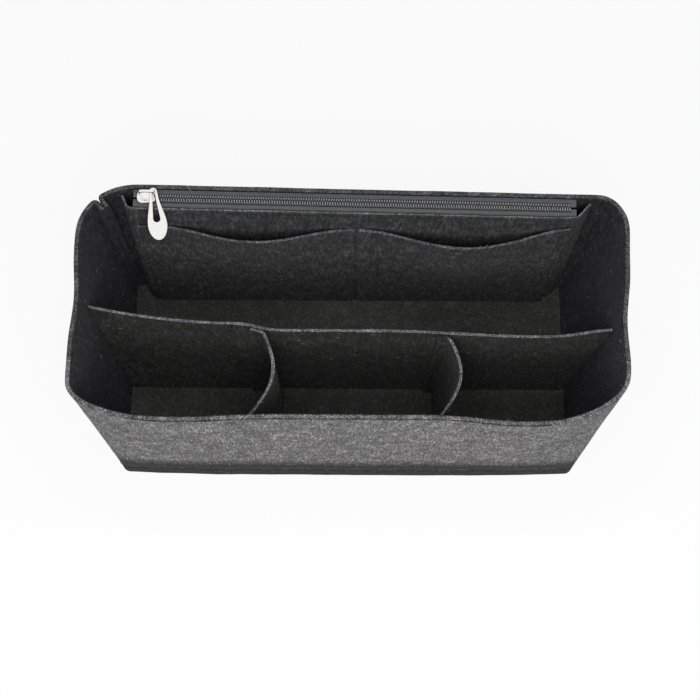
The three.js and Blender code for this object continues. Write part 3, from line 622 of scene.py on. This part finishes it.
def wall_finish(face, kind):
    """Outside, inner face, front rim, side rim or edge line; all but the outside and the front rim are
    painted shade. Near the top, the edge line shows along the front only.
    """
    middle = face.calc_center_median()
    in_front = middle.y < FRONT_RIM_Y
    rim = FRONT_RIM if in_front else SIDE_RIM_SHADED
    if kind == "flat":
        return OUTSIDE if looks_out(face) else WALL_INNER_SHADE
    if face.normal.z < FACING:
        return WALL_INNER_SHADE
    if kind == "cut":
        return rim
    # Rounded edges low on the wall, and along the middle of the front rim, take the line of painted shade.
    if middle.z < WALL_MIDDLE_HEIGHT or in_front and abs(middle.x) < FRONT_SHADE_LINE_REACH:
        return EDGE_SHADE
    return rim if looks_out(face) else WALL_INNER_SHADE


def panel_finish(face, kind):
    """Plain felt, or the pale cut edge where it looks up."""
    return EDGE if kind != "flat" and face.normal.z > LEVEL_FACE else PLAIN


def cross_finish(node):
    """As panel_finish, with the cut edge of the tab that is sewn flat to the long divider in the dark base
    felt: painted shade.
    """
    bm = merged_copy(node)
    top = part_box(node)[1].z - CROSS_TAB_DEPTH
    tab_from = max(vertex.co.y for vertex in bm.verts if vertex.co.z > top) - CROSS_TAB_DEPTH
    bm.free()

    def choose(face, kind):
        shown = panel_finish(face, kind)
        on_tab = face.calc_center_median().y > tab_from
        return TAB_EDGE_SHADE if on_tab and shown == EDGE else shown

    return choose


def hemmed_finish(face, kind):
    """As panel_finish, with the cut edge rolled in, so that less of it shows."""
    return EDGE if kind == "cut" and face.normal.z > LEVEL_FACE else PLAIN


def slip_finish(face, kind):
    """As panel_finish, with the cut edge sewn down at the seam, and plain at the left end as painted shade of
    the corner.
    """
    along = face.calc_center_median().x
    seam_or_painted_shade = along < SLIP_SHADED_LEFT_OF or abs(along - SLIP_SEAM_X) < SEAM_HALF_WIDTH
    return PLAIN if seam_or_painted_shade else panel_finish(face, kind)


# %% Wall, dividers and pocket panels
WALL_CELL = 8 * MM

# Of the wall's finishes, the inner face, the side rim and the edge line are painted shade.
wall_finishes = [felt_outside, felt_wall_inner_shade, felt_cut, felt_shaded_rim, felt_edge_shade]
wall = felt_panel("outer_wall", wall_finishes, wall_finish, WALL_CELL, WALL_EDGE_ROUND)
panels = [wall, felt_panel("long_divider", [felt_divider, felt_cut], panel_finish)]
for node in ("left_cross_divider", "right_cross_divider"):
    panels.append(felt_panel(node, [felt_divider, felt_cut, felt_base], cross_finish(node)))
panels.append(felt_panel("zip_panel", [felt_inside, felt_cut], hemmed_finish))
panels.append(felt_panel("slip_pocket_panel", [felt_inside, felt_mouth], slip_finish, seam=SLIP_SEAM_X))

# %% [markdown]
# ## Base tray
# The tray is one piece of felt with its edge folded up. The way of the panels doesn't suit it, because its
# floor is one broad face with no upright edges to cut. So it is sliced both ways into cells, and subdivided
# without smoothing, which keeps its floor flat.

# %% Base tray
TRAY_CELL = 9 * MM
TRAY_EDGE_HEIGHT = 16 * MM
TRAY_FLAT_ANGLE = math.radians(1)
TRAY_BASE, TRAY_FLOOR, TRAY_EDGE_SHADE, TRAY_INNER_SHADE = range(4)


def tray_finish(face, kind):
    """Base felt outside, the floor's felt, the edge line where it is rounded, and the wall's inner felt
    inside, each a copy in painted shade.
    """
    if face.normal.z > LEVEL_FACE and face.calc_center_median().z < TRAY_EDGE_HEIGHT / 2:
        return TRAY_FLOOR
    if kind == "rounded":
        return TRAY_EDGE_SHADE
    if abs(face.normal.z) > LEVEL_FACE or looks_out(face):
        return TRAY_BASE
    return TRAY_INNER_SHADE


def cut_in_cells(bm, low, high, cell):
    """Slices a mesh along X and along Y into cells of about one size."""
    for axis, across in enumerate((Vector((1, 0, 0)), Vector((0, 1, 0)))):
        span = high[axis] - low[axis]
        count = round(span / cell)
        for step in range(1, count):
            slice_mesh(bm, across * (low[axis] + span * step / count), across)


def tray_panel():
    bm = merged_copy("base_tray")
    bmesh.ops.dissolve_limit(bm, angle_limit=TRAY_FLAT_ANGLE, verts=bm.verts, edges=bm.edges)
    cut_in_cells(bm, *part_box("base_tray"), TRAY_CELL)
    tray_finishes = [felt_base, felt_floor, felt_edge_shade, felt_wall_inner_shade]
    return felt_from_mesh(bm, "base_tray", tray_finishes, tray_finish, "SIMPLE", WALL_EDGE_ROUND)


tray = tray_panel()

# %% [markdown]
# Each panel is one cut of felt. Its flat area is the solid's volume over the felt's thickness. The wall and
# the inner panels are strips as wide as they stand high, and the tray is a rectangle with cut-out corners.

# %% Flat sizes of the felt
WALL_FELT = 2.8 * MM
DIVIDER_FELT = 1.8 * MM
POCKET_FELT = 1.7 * MM
FELT_CUTS = {
    "outer_wall": (WALL_FELT, ["base_tray"]),
    "long_divider": (DIVIDER_FELT, ["base_tray", "outer_wall"]),
    "left_cross_divider": (DIVIDER_FELT, ["base_tray", "long_divider", "outer_wall"]),
    "right_cross_divider": (DIVIDER_FELT, ["base_tray", "long_divider", "outer_wall"]),
    "zip_panel": (POCKET_FELT, ["base_tray", "outer_wall"]),
    "slip_pocket_panel": (POCKET_FELT, ["base_tray", "zip_panel"]),
}


def flat_area(node, thickness):
    bm = merged_copy(node)
    area = bm.calc_volume() / thickness
    bm.free()
    return area


for panel in panels:
    node = panel.name.removesuffix("_felt")
    thickness, sewn_to = FELT_CUTS[node]
    low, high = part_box(node)
    height = high.z - low.z
    length = flat_area(node, thickness) / height
    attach(panel, "organizer")
    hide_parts(node)
    print(node, "cut in mm:", round(height / MM, 1), "by", round(length / MM, 1))

tray_low, tray_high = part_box("base_tray")
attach(tray, "organizer")
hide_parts("base_tray")
flat_area("base_tray", WALL_FELT)

# %% [markdown]
# ## Zip tapes
# A zip tape is a thin woven ribbon that stays flat between its rows of stitches. Its threads are about as
# fine as a pixel, so two crossed waves in the material show the weave better than modelled threads would.
# Each tape is under a centimetre wide.

# %% Woven finish
WEAVE_PITCH = 0.55 * MM
WEAVE_BUMP_HEIGHT = 0.1 * MM
BANDS_PER_UNIT_SCALE = 20 / (2 * math.pi)
THREAD_SHADE = 0.35
FUZZ_SHADE = 0.8


def weave_bands(tree, coordinates, direction):
    values = {"Vector": coordinates, "Scale": 1 / (WEAVE_PITCH * BANDS_PER_UNIT_SCALE), "Distortion": 0.4}
    wave = add_node(tree, "ShaderNodeTexWave", values, wave_type="BANDS", bands_direction=direction)
    return wave.outputs["Fac"]


def woven_finish(name, dark, pale):
    material, tree, cloth = new_material(name, {"Roughness": 0.8, "Sheen Weight": 0.2})
    place = object_place(tree)
    warp = weave_bands(tree, place, "Y")
    weft = weave_bands(tree, place, "X")
    fuzz = fibre_noise(tree, place, FELT_SPECK_SIZE)
    shade = weighted_sum(tree, [(warp, THREAD_SHADE), (weft, THREAD_SHADE), (fuzz, FUZZ_SHADE)])
    color = color_ramp(tree, shade, [(0, dark), (1, pale)])
    normal = bumped(tree, shade, 0.4, WEAVE_BUMP_HEIGHT)
    set_inputs(tree, cloth, {"Base Color": color, "Normal": normal})
    return material


tape_weave = woven_finish("zip_tape_weave", (0.046, 0.047, 0.052), (0.116, 0.118, 0.128))
print("Weave pitch in mm:", WEAVE_PITCH / MM)

# %% Tapes
TAPE_EDGE_ROUND = 0.12 * MM
TAPE_JOIN_ANGLE = math.radians(5)
TAPE_LONG_EDGE = 100 * MM
TAPE_CUTS = 80


def tape_piece(node):
    bm = merged_copy(node)
    join_quads(bm, TAPE_JOIN_ANGLE)
    lengthwise = [e for e in bm.edges if abs(e.verts[0].co.x - e.verts[1].co.x) > TAPE_LONG_EDGE]
    bmesh.ops.subdivide_edges(bm, edges=lengthwise, cuts=TAPE_CUTS, use_grid_fill=True)
    round_edges(bm, edges_over(bm, SHARP_ANGLE), TAPE_EDGE_ROUND)
    smooth_faces(bm)
    piece = link_object(node + "_woven", mesh_from(bm, node))
    piece.data.materials.append(tape_weave)
    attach(piece, "organizer")
    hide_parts(node)
    return piece


tapes = [tape_piece(node) for node in ("rear_zip_tape", "front_zip_tape")]
print("Tape faces:", [len(tape.data.polygons) for tape in tapes])

# %% [markdown]
# ## Zip coil
# Each half of a coil zip is one nylon thread wound into a flat spiral. Its turns hook between the turns of
# the other half, half a pitch along. Single turns could be instanced, but a spiral curve with a round profile
# gives a thread without joints. Geometry Nodes wind it, so the pitch, width and wire stay named inputs.

# %% Geometry Nodes helpers
def new_tree(name, inputs):
    """A Geometry Nodes tree and the sockets of its named inputs."""
    tree = bpy.data.node_groups.new(name, "GeometryNodeTree")
    tree.interface.new_socket("Geometry", in_out="INPUT", socket_type="NodeSocketGeometry")
    for label, kind in inputs.items():
        tree.interface.new_socket(label, in_out="INPUT", socket_type="NodeSocket" + kind)
    tree.interface.new_socket("Geometry", in_out="OUTPUT", socket_type="NodeSocketGeometry")
    return tree, tree.nodes.new("NodeGroupInput").outputs


def grown(name, tree, base_mesh, values):
    """Runs a tree on a mesh and keeps the result as a plain mesh."""
    piece = link_object(name, base_mesh)
    modifier = piece.modifiers.new(tree.name, "NODES")
    modifier.node_group = tree
    for item in tree.interface.items_tree:
        if item.in_out == "INPUT" and item.name in values:
            modifier[item.identifier] = values[item.name]
    return keep_result(piece)


def swept(tree, curve, thickness, sides):
    """A curve as a round thread of one thickness."""
    radius = worked_out(tree, "MULTIPLY", thickness, 0.5)
    profile = add_node(tree, "GeometryNodeCurvePrimitiveCircle", {"Resolution": sides, "Radius": radius})
    ends = {"Curve": curve, "Profile Curve": profile.outputs["Curve"]}
    return add_node(tree, "GeometryNodeCurveToMesh", ends).outputs["Mesh"]


def finish_tree(tree, given, geometry):
    """Ends a tree: realized, smooth and with its material."""
    realized = add_node(tree, "GeometryNodeRealizeInstances", {"Geometry": geometry})
    smooth = add_node(tree, "GeometryNodeSetShadeSmooth", {0: realized.outputs["Geometry"]})
    paint = {"Geometry": smooth.outputs[0], "Material": given["Material"]}
    painted = add_node(tree, "GeometryNodeSetMaterial", paint)
    add_node(tree, "NodeGroupOutput", {"Geometry": painted.outputs["Geometry"]})


# %% [markdown]
# The coil's nylon is dyed dark. It has a painted highlight on the tops of its turns, and painted shade where
# the halves hook.
# Vertex colours could hold that, but two ranges give it from the height and the distance to the middle line.

# %% Nylon
# Painted shade where the halves hook: full up to the first distance from the middle line, gone from the
# second.
COIL_HOOK_DARK = 0.15 * MM
COIL_HOOK_CLEAR = 0.6 * MM
NYLON_STREAKS = 0.4
NYLON_STREAK_STRETCH = 3
NYLON_DARK_UP_TO = 0.3


def nylon_finish(low, high, across, middle):
    """Dyed nylon, with a painted highlight on the tops of the turns, from low to high, and painted shade
    where the halves hook.

    across is the direction from one half to the other, and middle a point on the line between them.
    """
    material, tree, nylon = new_material("zip_coil_nylon", {"Roughness": 0.38})
    place = object_place(tree)
    sideways = add_node(tree, "ShaderNodeVectorMath", {0: place, 1: across}, operation="DOT_PRODUCT")
    offset = worked_out(tree, "SUBTRACT", sideways.outputs["Value"], middle.dot(across))
    hook_shade = rising(tree, worked_out(tree, "ABSOLUTE", offset), COIL_HOOK_DARK, COIL_HOOK_CLEAR)
    # Painted highlight: paler towards the tops of the turns.
    tops = worked_out(tree, "MULTIPLY", rising(tree, height_of(tree), low, high), hook_shade)
    streaks = fibre_noise(tree, place, FELT_SPECK_SIZE, NYLON_STREAK_STRETCH)
    shade = weighted_sum(tree, [(tops, 1.0), (streaks, NYLON_STREAKS)])
    color = color_ramp(tree, shade, [(NYLON_DARK_UP_TO, grey(0.03)), (1, grey(0.37))])
    set_inputs(tree, nylon, {"Base Color": color})
    return material


# %% Coil halves
COIL_HALF_WIDTH = 2.15 * MM
COIL_OVERLAP = 0.65 * MM
COIL_PITCH = 1.4 * MM
COIL_WIRE = 0.46 * MM
COIL_POINTS_PER_TURN = 14
WIRE_SIDES = 6


def coil_tree():
    tree, given = new_tree("coil_half", {
        "Turns": "Float", "Length": "Float", "Width": "Float", "Height": "Float", "Wire": "Float",
        "Material": "Material",
    })
    spiral = add_node(tree, "GeometryNodeCurveSpiral", {
        "Resolution": COIL_POINTS_PER_TURN, "Rotations": given["Turns"], "Start Radius": 0.5,
        "End Radius": 0.5, "Height": given["Length"],
    })
    flatten = add_node(tree, "ShaderNodeCombineXYZ", {"X": given["Height"], "Y": given["Width"], "Z": 1})
    pressed = add_node(tree, "GeometryNodeTransform", {
        "Geometry": spiral.outputs["Curve"], "Scale": flatten.outputs[0],
    })
    laid = add_node(tree, "GeometryNodeTransform", {
        "Geometry": pressed.outputs["Geometry"], "Rotation": (0, math.pi / 2, 0),
    })
    wound = swept(tree, laid.outputs["Geometry"], given["Wire"], WIRE_SIDES)
    finish_tree(tree, given, wound)
    return tree


rear_low, rear_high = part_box("rear_zip_coil")
zip_joint = next(joint for joint in frame["joints"] if joint["name"] == "zip_slide")
zip_axis = Vector(zip_joint["axis"])
zip_across = Vector((-zip_axis.y, zip_axis.x, 0))
coil_middle = (rear_low + rear_high) / 2
coil_middle -= zip_across * (COIL_HALF_WIDTH - COIL_OVERLAP) / 2
coil_turns = math.floor((rear_high.x - rear_low.x) / zip_axis.x / COIL_PITCH) - 1
coil_length = coil_turns * COIL_PITCH
nylon = nylon_finish(rear_low.z, rear_high.z, zip_across, coil_middle)
winding = coil_tree()


def coil_half(node, side, shift):
    """One half of the chain: side is 1 for the rear half and -1 for the front one, shift its start."""
    width = COIL_HALF_WIDTH + COIL_OVERLAP - COIL_WIRE
    piece = grown(node + "_wound", winding, bpy.data.meshes.new(node), {
        "Turns": coil_turns, "Length": coil_length, "Width": width,
        "Height": rear_high.z - rear_low.z - COIL_WIRE, "Wire": COIL_WIRE, "Material": nylon,
    })
    start = coil_middle + zip_across * side * (COIL_HALF_WIDTH - COIL_OVERLAP) / 2
    start += zip_axis * (shift - coil_length / 2)
    turned = Matrix.Rotation(math.atan2(zip_axis.y, zip_axis.x), 4, "Z")
    mirrored = Matrix.Scale(side, 4, (0, 1, 0))
    piece.data.transform(Matrix.Translation(start) @ turned @ mirrored)
    if side < 0:
        piece.data.flip_normals()
    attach(piece, "organizer")
    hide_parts(node)
    return piece


coils = [coil_half("rear_zip_coil", 1, 0), coil_half("front_zip_coil", -1, COIL_PITCH / 2)]
print("Coil turns:", coil_turns, "faces:", [len(coil.data.polygons) for coil in coils])

# %% [markdown]
# ## Slider and pull
# Both are small die castings, polished and plated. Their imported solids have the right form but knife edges,
# and a plated edge shows by the bright line on its rounding. A bevel is enough for the flat pull. The slider
# has walls that meet in many ways, so it is remeshed and smoothed all over, as tumbling does to a casting.

# %% Plated metal
HAZE_SIZE = 2 * MM
SCRATCH_WIDTH = 0.3 * MM
SCRATCH_STRETCH = 12
SCRATCH_TURN = (0.3, 1.2, 0.4)
SCRATCH_DEPTH = 0.05 * MM


def plated_finish():
    material, tree, metal = new_material("bright_plating", {"Metallic": 1})
    place = object_place(tree)
    haze = fibre_noise(tree, place, HAZE_SIZE, detail=4)
    scratches = fibre_noise(tree, place, SCRATCH_WIDTH, SCRATCH_STRETCH, SCRATCH_TURN)
    rough = add_node(tree, "ShaderNodeMapRange", {"Value": scratches, "To Min": 0.1, "To Max": 0.3})
    set_inputs(tree, metal, {
        "Base Color": color_ramp(tree, haze, [(0, (0.78, 0.77, 0.745)), (1, (0.98, 0.97, 0.945))]),
        "Roughness": rough.outputs["Result"],
        "Normal": bumped(tree, scratches, 0.08, SCRATCH_DEPTH),
    })
    return material


plating = plated_finish()
print("Nodes in the plating:", len(plating.node_tree.nodes))

# %% Castings
CASTING_EDGE_ROUND = 0.16 * MM
CASTING_EDGE_SEGMENTS = 3
CASTING_SHARP_ANGLE = math.radians(35)
CASTING_FLAT_ANGLE = math.radians(2)
TUMBLED_VOXEL = 0.13 * MM
TUMBLED_ROUNDS = 10


def bevelled(bm):
    """Rounds the edges of a flat casting."""
    bmesh.ops.dissolve_limit(bm, angle_limit=CASTING_FLAT_ANGLE, verts=bm.verts, edges=bm.edges)
    round_edges(bm, edges_over(bm, CASTING_SHARP_ANGLE), CASTING_EDGE_ROUND, CASTING_EDGE_SEGMENTS)
    smooth_faces(bm)


def casting(node, body, tumbled):
    """A plated copy of a casting. A tumbled one is remeshed and smoothed all over."""
    bm = merged_copy(node)
    if not tumbled:
        bevelled(bm)
    piece = link_object(node + "_plated", mesh_from(bm, node))
    if tumbled:
        applied(piece, "REMESH", mode="VOXEL", voxel_size=TUMBLED_VOXEL, use_smooth_shade=True)
        applied(piece, "SMOOTH", factor=0.5, iterations=TUMBLED_ROUNDS)
    else:
        piece.data.set_sharp_from_angle(angle=CASTING_SHARP_ANGLE)
    piece.data.materials.clear()
    piece.data.materials.append(plating)
    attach(piece, body)
    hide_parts(node)
    return piece


castings = [casting("zip_slider", "slider", True), casting("zip_pull", "pull", False)]
print("Casting faces:", [len(piece.data.polygons) for piece in castings])

# %% [markdown]
# ## Sewing
# The panels are held by rows of lockstitch in a fine thread, sunk into the felt. A bump map could draw them,
# but they would vanish at a grazing angle. So rays are cast on to each panel to find where a row runs, and
# Geometry Nodes set one small stitch at every pitch along it.

# %% Stitch tree
STITCH_SEGMENTS = 6
STITCH_RINGS = 5


def stitch_tree():
    tree, given = new_tree("stitch_row", {
        "Pitch": "Float", "Length": "Float", "Thread": "Float", "Material": "Material",
    })
    curve = add_node(tree, "GeometryNodeMeshToCurve", {"Mesh": given["Geometry"]})
    spaced = add_node(tree, "GeometryNodeResampleCurve", {
        "Curve": curve.outputs["Curve"], "Length": given["Pitch"],
    }, mode="LENGTH")
    along = add_node(tree, "GeometryNodeInputTangent").outputs["Tangent"]
    turn = add_node(tree, "FunctionNodeAlignRotationToVector", {"Vector": along}, axis="X")
    stitch = add_node(tree, "GeometryNodeMeshUVSphere", {
        "Segments": STITCH_SEGMENTS, "Rings": STITCH_RINGS, "Radius": 0.5,
    })
    size = add_node(tree, "ShaderNodeCombineXYZ", {
        "X": given["Length"], "Y": given["Thread"], "Z": given["Thread"],
    })
    drawn = add_node(tree, "GeometryNodeTransform", {
        "Geometry": stitch.outputs["Mesh"], "Scale": size.outputs[0],
    })
    placed = add_node(tree, "GeometryNodeInstanceOnPoints", {
        "Points": spaced.outputs["Curve"], "Instance": drawn.outputs["Geometry"],
        "Rotation": turn.outputs["Rotation"],
    })
    finish_tree(tree, given, placed.outputs["Instances"])
    return tree


# %% Finding the rows
ROW_STEP = 4 * MM
TO_FRONT = Vector((0, -1, 0))
TO_REAR = Vector((0, 1, 0))
TO_LEFT = Vector((-1, 0, 0))
TO_RIGHT = Vector((1, 0, 0))
pieces_by_node = {panel.name.removesuffix("_felt"): panel for panel in [*panels, tray]}


def surface_of(node):
    mesh = pieces_by_node[node].data
    return BVHTree.FromPolygons([v.co for v in mesh.vertices], [p.vertices for p in mesh.polygons])


def row_between(node, start, end, look):
    """Points on a panel's surface, found by rays that leave the line from start to end and look one way."""
    surface = surface_of(node)
    steps = max(2, round((end - start).length / ROW_STEP))
    points = []
    for step in range(steps + 1):
        hit = surface.ray_cast(start.lerp(end, step / steps), look)[0]
        if hit:
            points.append(hit)
    return points


def edge_at(node, level, side):
    """How far a panel reaches at one level, to the left for side -1 and to the right for side 1."""
    places = [v.co.x for v in pieces_by_node[node].data.vertices if abs(v.co.z - level) < ROW_STEP]
    return side * max(side * place for place in places)


# %% Rows inside the box
EDGE_ROW_INSET = 2.6 * MM
SLIP_ROW_BELOW_MOUTH = 12 * MM
SLIP_ROW_ABOVE_FOOT = 4 * MM
ZIP_ROW_INSET = 12 * MM
# Rays start in the air of the rooms before and behind the long divider.
FRONT_ROOM_Y = -50 * MM
REAR_ROOM_Y = 10 * MM
REAR_TAB_ROWS = {
    "left_cross_divider": (-51 * MM, -44.5 * MM),
    "right_cross_divider": (51.8 * MM, 48.6 * MM),
}
COIL_ROW_OUT = 0.3 * MM
COIL_ROW_STEPS = 40
TAPE_FACE = 0.55 * MM


def inner_rows():
    """The rear tabs of the cross dividers, the slip panel's seam and ends, and the zip panel's top edge."""
    rows = []
    for node, (top_x, foot_x) in REAR_TAB_ROWS.items():
        low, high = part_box(node)
        top = Vector((top_x, FRONT_ROOM_Y, high.z - EDGE_ROW_INSET))
        foot = Vector((foot_x, FRONT_ROOM_Y, low.z + EDGE_ROW_INSET))
        rows.append(row_between(node, top, foot, TO_REAR))
    low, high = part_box("slip_pocket_panel")
    ends = [Vector((SLIP_SEAM_X, REAR_ROOM_Y, level)) for level in (high.z, low.z)]
    rows.append(row_between("slip_pocket_panel", *ends, TO_REAR))
    for side in (-1, 1):
        ends = []
        for level in (high.z - SLIP_ROW_BELOW_MOUTH, low.z + SLIP_ROW_ABOVE_FOOT):
            along = edge_at("slip_pocket_panel", level, side) - side * EDGE_ROW_INSET
            ends.append(Vector((along, REAR_ROOM_Y, level)))
        rows.append(row_between("slip_pocket_panel", *ends, TO_REAR))
    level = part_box("zip_panel")[1].z - EDGE_ROW_INSET
    reach = [edge_at("zip_panel", level, side) - side * ZIP_ROW_INSET for side in (-1, 1)]
    ends = [Vector((along, REAR_ROOM_Y, level)) for along in reach]
    rows.append(row_between("zip_panel", *ends, TO_REAR))
    return rows


def coil_rows():
    """The rows that hold the coil down on its tapes, one beside each half."""
    rows = []
    for side in (-1, 1):
        middle = coil_middle + zip_across * side * (COIL_HALF_WIDTH + COIL_ROW_OUT)
        middle.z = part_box("rear_zip_tape")[0].z + TAPE_FACE
        ends = [middle + zip_axis * end * coil_length / 2 for end in (-1, 1)]
        rows.append([ends[0].lerp(ends[1], step / COIL_ROW_STEPS) for step in range(COIL_ROW_STEPS + 1)])
    return rows


# %% Rows outside the box
FAR = 300 * MM
FRONT_TAB_ROWS = ((-57 * MM, -51 * MM), (46.5 * MM, 43 * MM))
FRONT_ROW_BELOW_RIM = 14 * MM
FRONT_ROW_ABOVE_FOOT = 4 * MM
REAR_ROW_BELOW_RIM = 2.4 * MM
REAR_ROW_ENDS = (-100 * MM, 120 * MM)
BASE_ROW_BELOW_SEAM = 2.6 * MM
BASE_ROW_CORNER = Vector((10, 10, 0)) * MM


def outer_rows():
    """The front tabs of the cross dividers, the rear tape under the rim, and the tray's edge all round."""
    rows = []
    low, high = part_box("outer_wall")
    for top_x, foot_x in FRONT_TAB_ROWS:
        top = Vector((top_x, -FAR, high.z - FRONT_ROW_BELOW_RIM))
        foot = Vector((foot_x, -FAR, low.z + FRONT_ROW_ABOVE_FOOT))
        rows.append(row_between("outer_wall", top, foot, TO_REAR))
    level = high.z - REAR_ROW_BELOW_RIM
    ends = [Vector((along, FAR, level)) for along in REAR_ROW_ENDS]
    rows.append(row_between("outer_wall", *ends, TO_FRONT))
    level = tray_high.z - BASE_ROW_BELOW_SEAM
    reach = tray_high - BASE_ROW_CORNER
    for look, side in ((TO_REAR, -1), (TO_FRONT, 1)):
        ends = [Vector((end * reach.x, side * FAR, level)) for end in (-1, 1)]
        rows.append(row_between("base_tray", *ends, look))
    for look, side in ((TO_RIGHT, -1), (TO_LEFT, 1)):
        ends = [Vector((side * FAR, end * reach.y, level)) for end in (-1, 1)]
        rows.append(row_between("base_tray", *ends, look))
    return rows


# %% Sewing
STITCH_PITCH = 3 * MM
STITCH_LENGTH = 2.4 * MM
THREAD = 0.4 * MM
STRAND_STRETCH = 3
STRAND_TURN = (0.5, 0.5, 0.5)
STRAND_CONTRAST = 0.5
COIL_STITCH_LENGTH = 1.35 * MM
COIL_THREAD = 0.6 * MM


def thread_finish(name, level):
    """Twisted thread about one grey, darker between its strands."""
    material, tree, thread = new_material(name, {"Roughness": 0.75, "Specular IOR Level": 0.2})
    strands = fibre_noise(tree, object_place(tree), THREAD, STRAND_STRETCH, STRAND_TURN)
    dark, pale = greys(level * (1 - STRAND_CONTRAST), level * (1 + STRAND_CONTRAST))
    set_inputs(tree, thread, {"Base Color": color_ramp(tree, strands, [(0, dark), (1, pale)])})
    return material


def sew(name, rows, finish, pitch=STITCH_PITCH, length=STITCH_LENGTH, thickness=THREAD):
    """Sets stitches along rows of points. They lie on the felt's surface, so half of each is sunk in."""
    mesh = bpy.data.meshes.new(name)
    points = [point for row in rows for point in row]
    edges = []
    first = 0
    for row in rows:
        edges += [(first + step, first + step + 1) for step in range(len(row) - 1)]
        first += len(row)
    mesh.from_pydata(points, edges, [])
    thread = grown(name, stitching, mesh, {
        "Pitch": pitch, "Length": length, "Thread": thickness, "Material": finish,
    })
    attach(thread, "organizer")
    print(name, "rows:", len(rows), "faces:", len(thread.data.polygons))


stitching = stitch_tree()
black_thread = thread_finish("thread_black", 0.004)
sew("inner_sewing", inner_rows(), black_thread)
sew("coil_sewing", coil_rows(), black_thread, COIL_PITCH, COIL_STITCH_LENGTH, COIL_THREAD)
sew("outer_sewing", outer_rows(), thread_finish("thread_grey", 0.04))

# %% [markdown]
# ## Loose fibres
# Pale fibres that the needles didn't catch lie on felt and show best on the dark inside. They could be a hair
# system, but about two thousand short bent strands from Geometry Nodes stay plain mesh with a fixed seed.

# %% Fibre tree
FIBRE_POINTS = 5
FIBRE_SIDES = 3
FIBRE_LEAST_SCALE = 0.4
FIBRE_GREATEST_SCALE = 1.2


def fibre_tree():
    tree, given = new_tree("loose_fibres", {
        "Density": "Float", "Length": "Float", "Lift": "Float", "Thickness": "Float", "Seed": "Int",
        "Material": "Material",
    })
    seed = given["Seed"]
    scatter = add_node(tree, "GeometryNodeDistributePointsOnFaces", {
        "Mesh": given["Geometry"], "Density": given["Density"], "Seed": seed,
    })
    middle = add_node(tree, "ShaderNodeCombineXYZ", {"Y": given["Lift"], "Z": given["Lift"]})
    end = add_node(tree, "ShaderNodeCombineXYZ", {"X": given["Length"], "Y": given["Lift"]})
    strand = add_node(tree, "GeometryNodeCurveQuadraticBezier", {
        "Resolution": FIBRE_POINTS, "Start": (0, 0, 0), "Middle": middle.outputs[0], "End": end.outputs[0],
    })
    fibre = swept(tree, strand.outputs["Curve"], given["Thickness"], FIBRE_SIDES)
    # Of a Random Value node, inputs 2 and 3 are the least and the greatest float, and output 1 is the result.
    heading = add_node(tree, "FunctionNodeRandomValue", {3: 2 * math.pi, "Seed": seed}, data_type="FLOAT")
    spin = add_node(tree, "ShaderNodeCombineXYZ", {"Z": heading.outputs[1]})
    as_rotation = add_node(tree, "FunctionNodeEulerToRotation", {"Euler": spin.outputs[0]})
    turned = add_node(tree, "FunctionNodeRotateRotation", {
        "Rotation": scatter.outputs["Rotation"], "Rotate By": as_rotation.outputs["Rotation"],
    }, rotation_space="LOCAL")
    size = add_node(tree, "FunctionNodeRandomValue", {
        2: FIBRE_LEAST_SCALE, 3: FIBRE_GREATEST_SCALE, "Seed": seed,
    }, data_type="FLOAT")
    placed = add_node(tree, "GeometryNodeInstanceOnPoints", {
        "Points": scatter.outputs["Points"], "Instance": fibre, "Rotation": turned.outputs["Rotation"],
        "Scale": size.outputs[1],
    })
    finish_tree(tree, given, placed.outputs["Instances"])
    return tree


# %% Loose fibres
FIBRE_LENGTH = 1.7 * MM
FIBRE_THICKNESS = 0.15 * MM
FIBRE_LIFT = 0.22 * MM
FIBRES_PER_SQUARE_METRE = 4200
FIBRE_SEED = 7
FIBRE_FREE_HEIGHT = 2 * MM


def all_felt():
    """One mesh of every felt panel but for the underside, for fibres to lie on."""
    bm = bmesh.new()
    for piece in pieces_by_node.values():
        bm.from_mesh(piece.data)
    underside = [face for face in bm.faces if face.calc_center_median().z < FIBRE_FREE_HEIGHT]
    bmesh.ops.delete(bm, geom=underside, context="FACES")
    return mesh_from(bm, "felt_surface")


fibres = grown("loose_fibres", fibre_tree(), all_felt(), {
    "Density": FIBRES_PER_SQUARE_METRE, "Length": FIBRE_LENGTH, "Lift": FIBRE_LIFT,
    "Thickness": FIBRE_THICKNESS, "Seed": FIBRE_SEED, "Material": thread_finish("fibre_pale", 0.3),
})
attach(fibres, "organizer")
print("Fibre faces:", len(fibres.data.polygons))
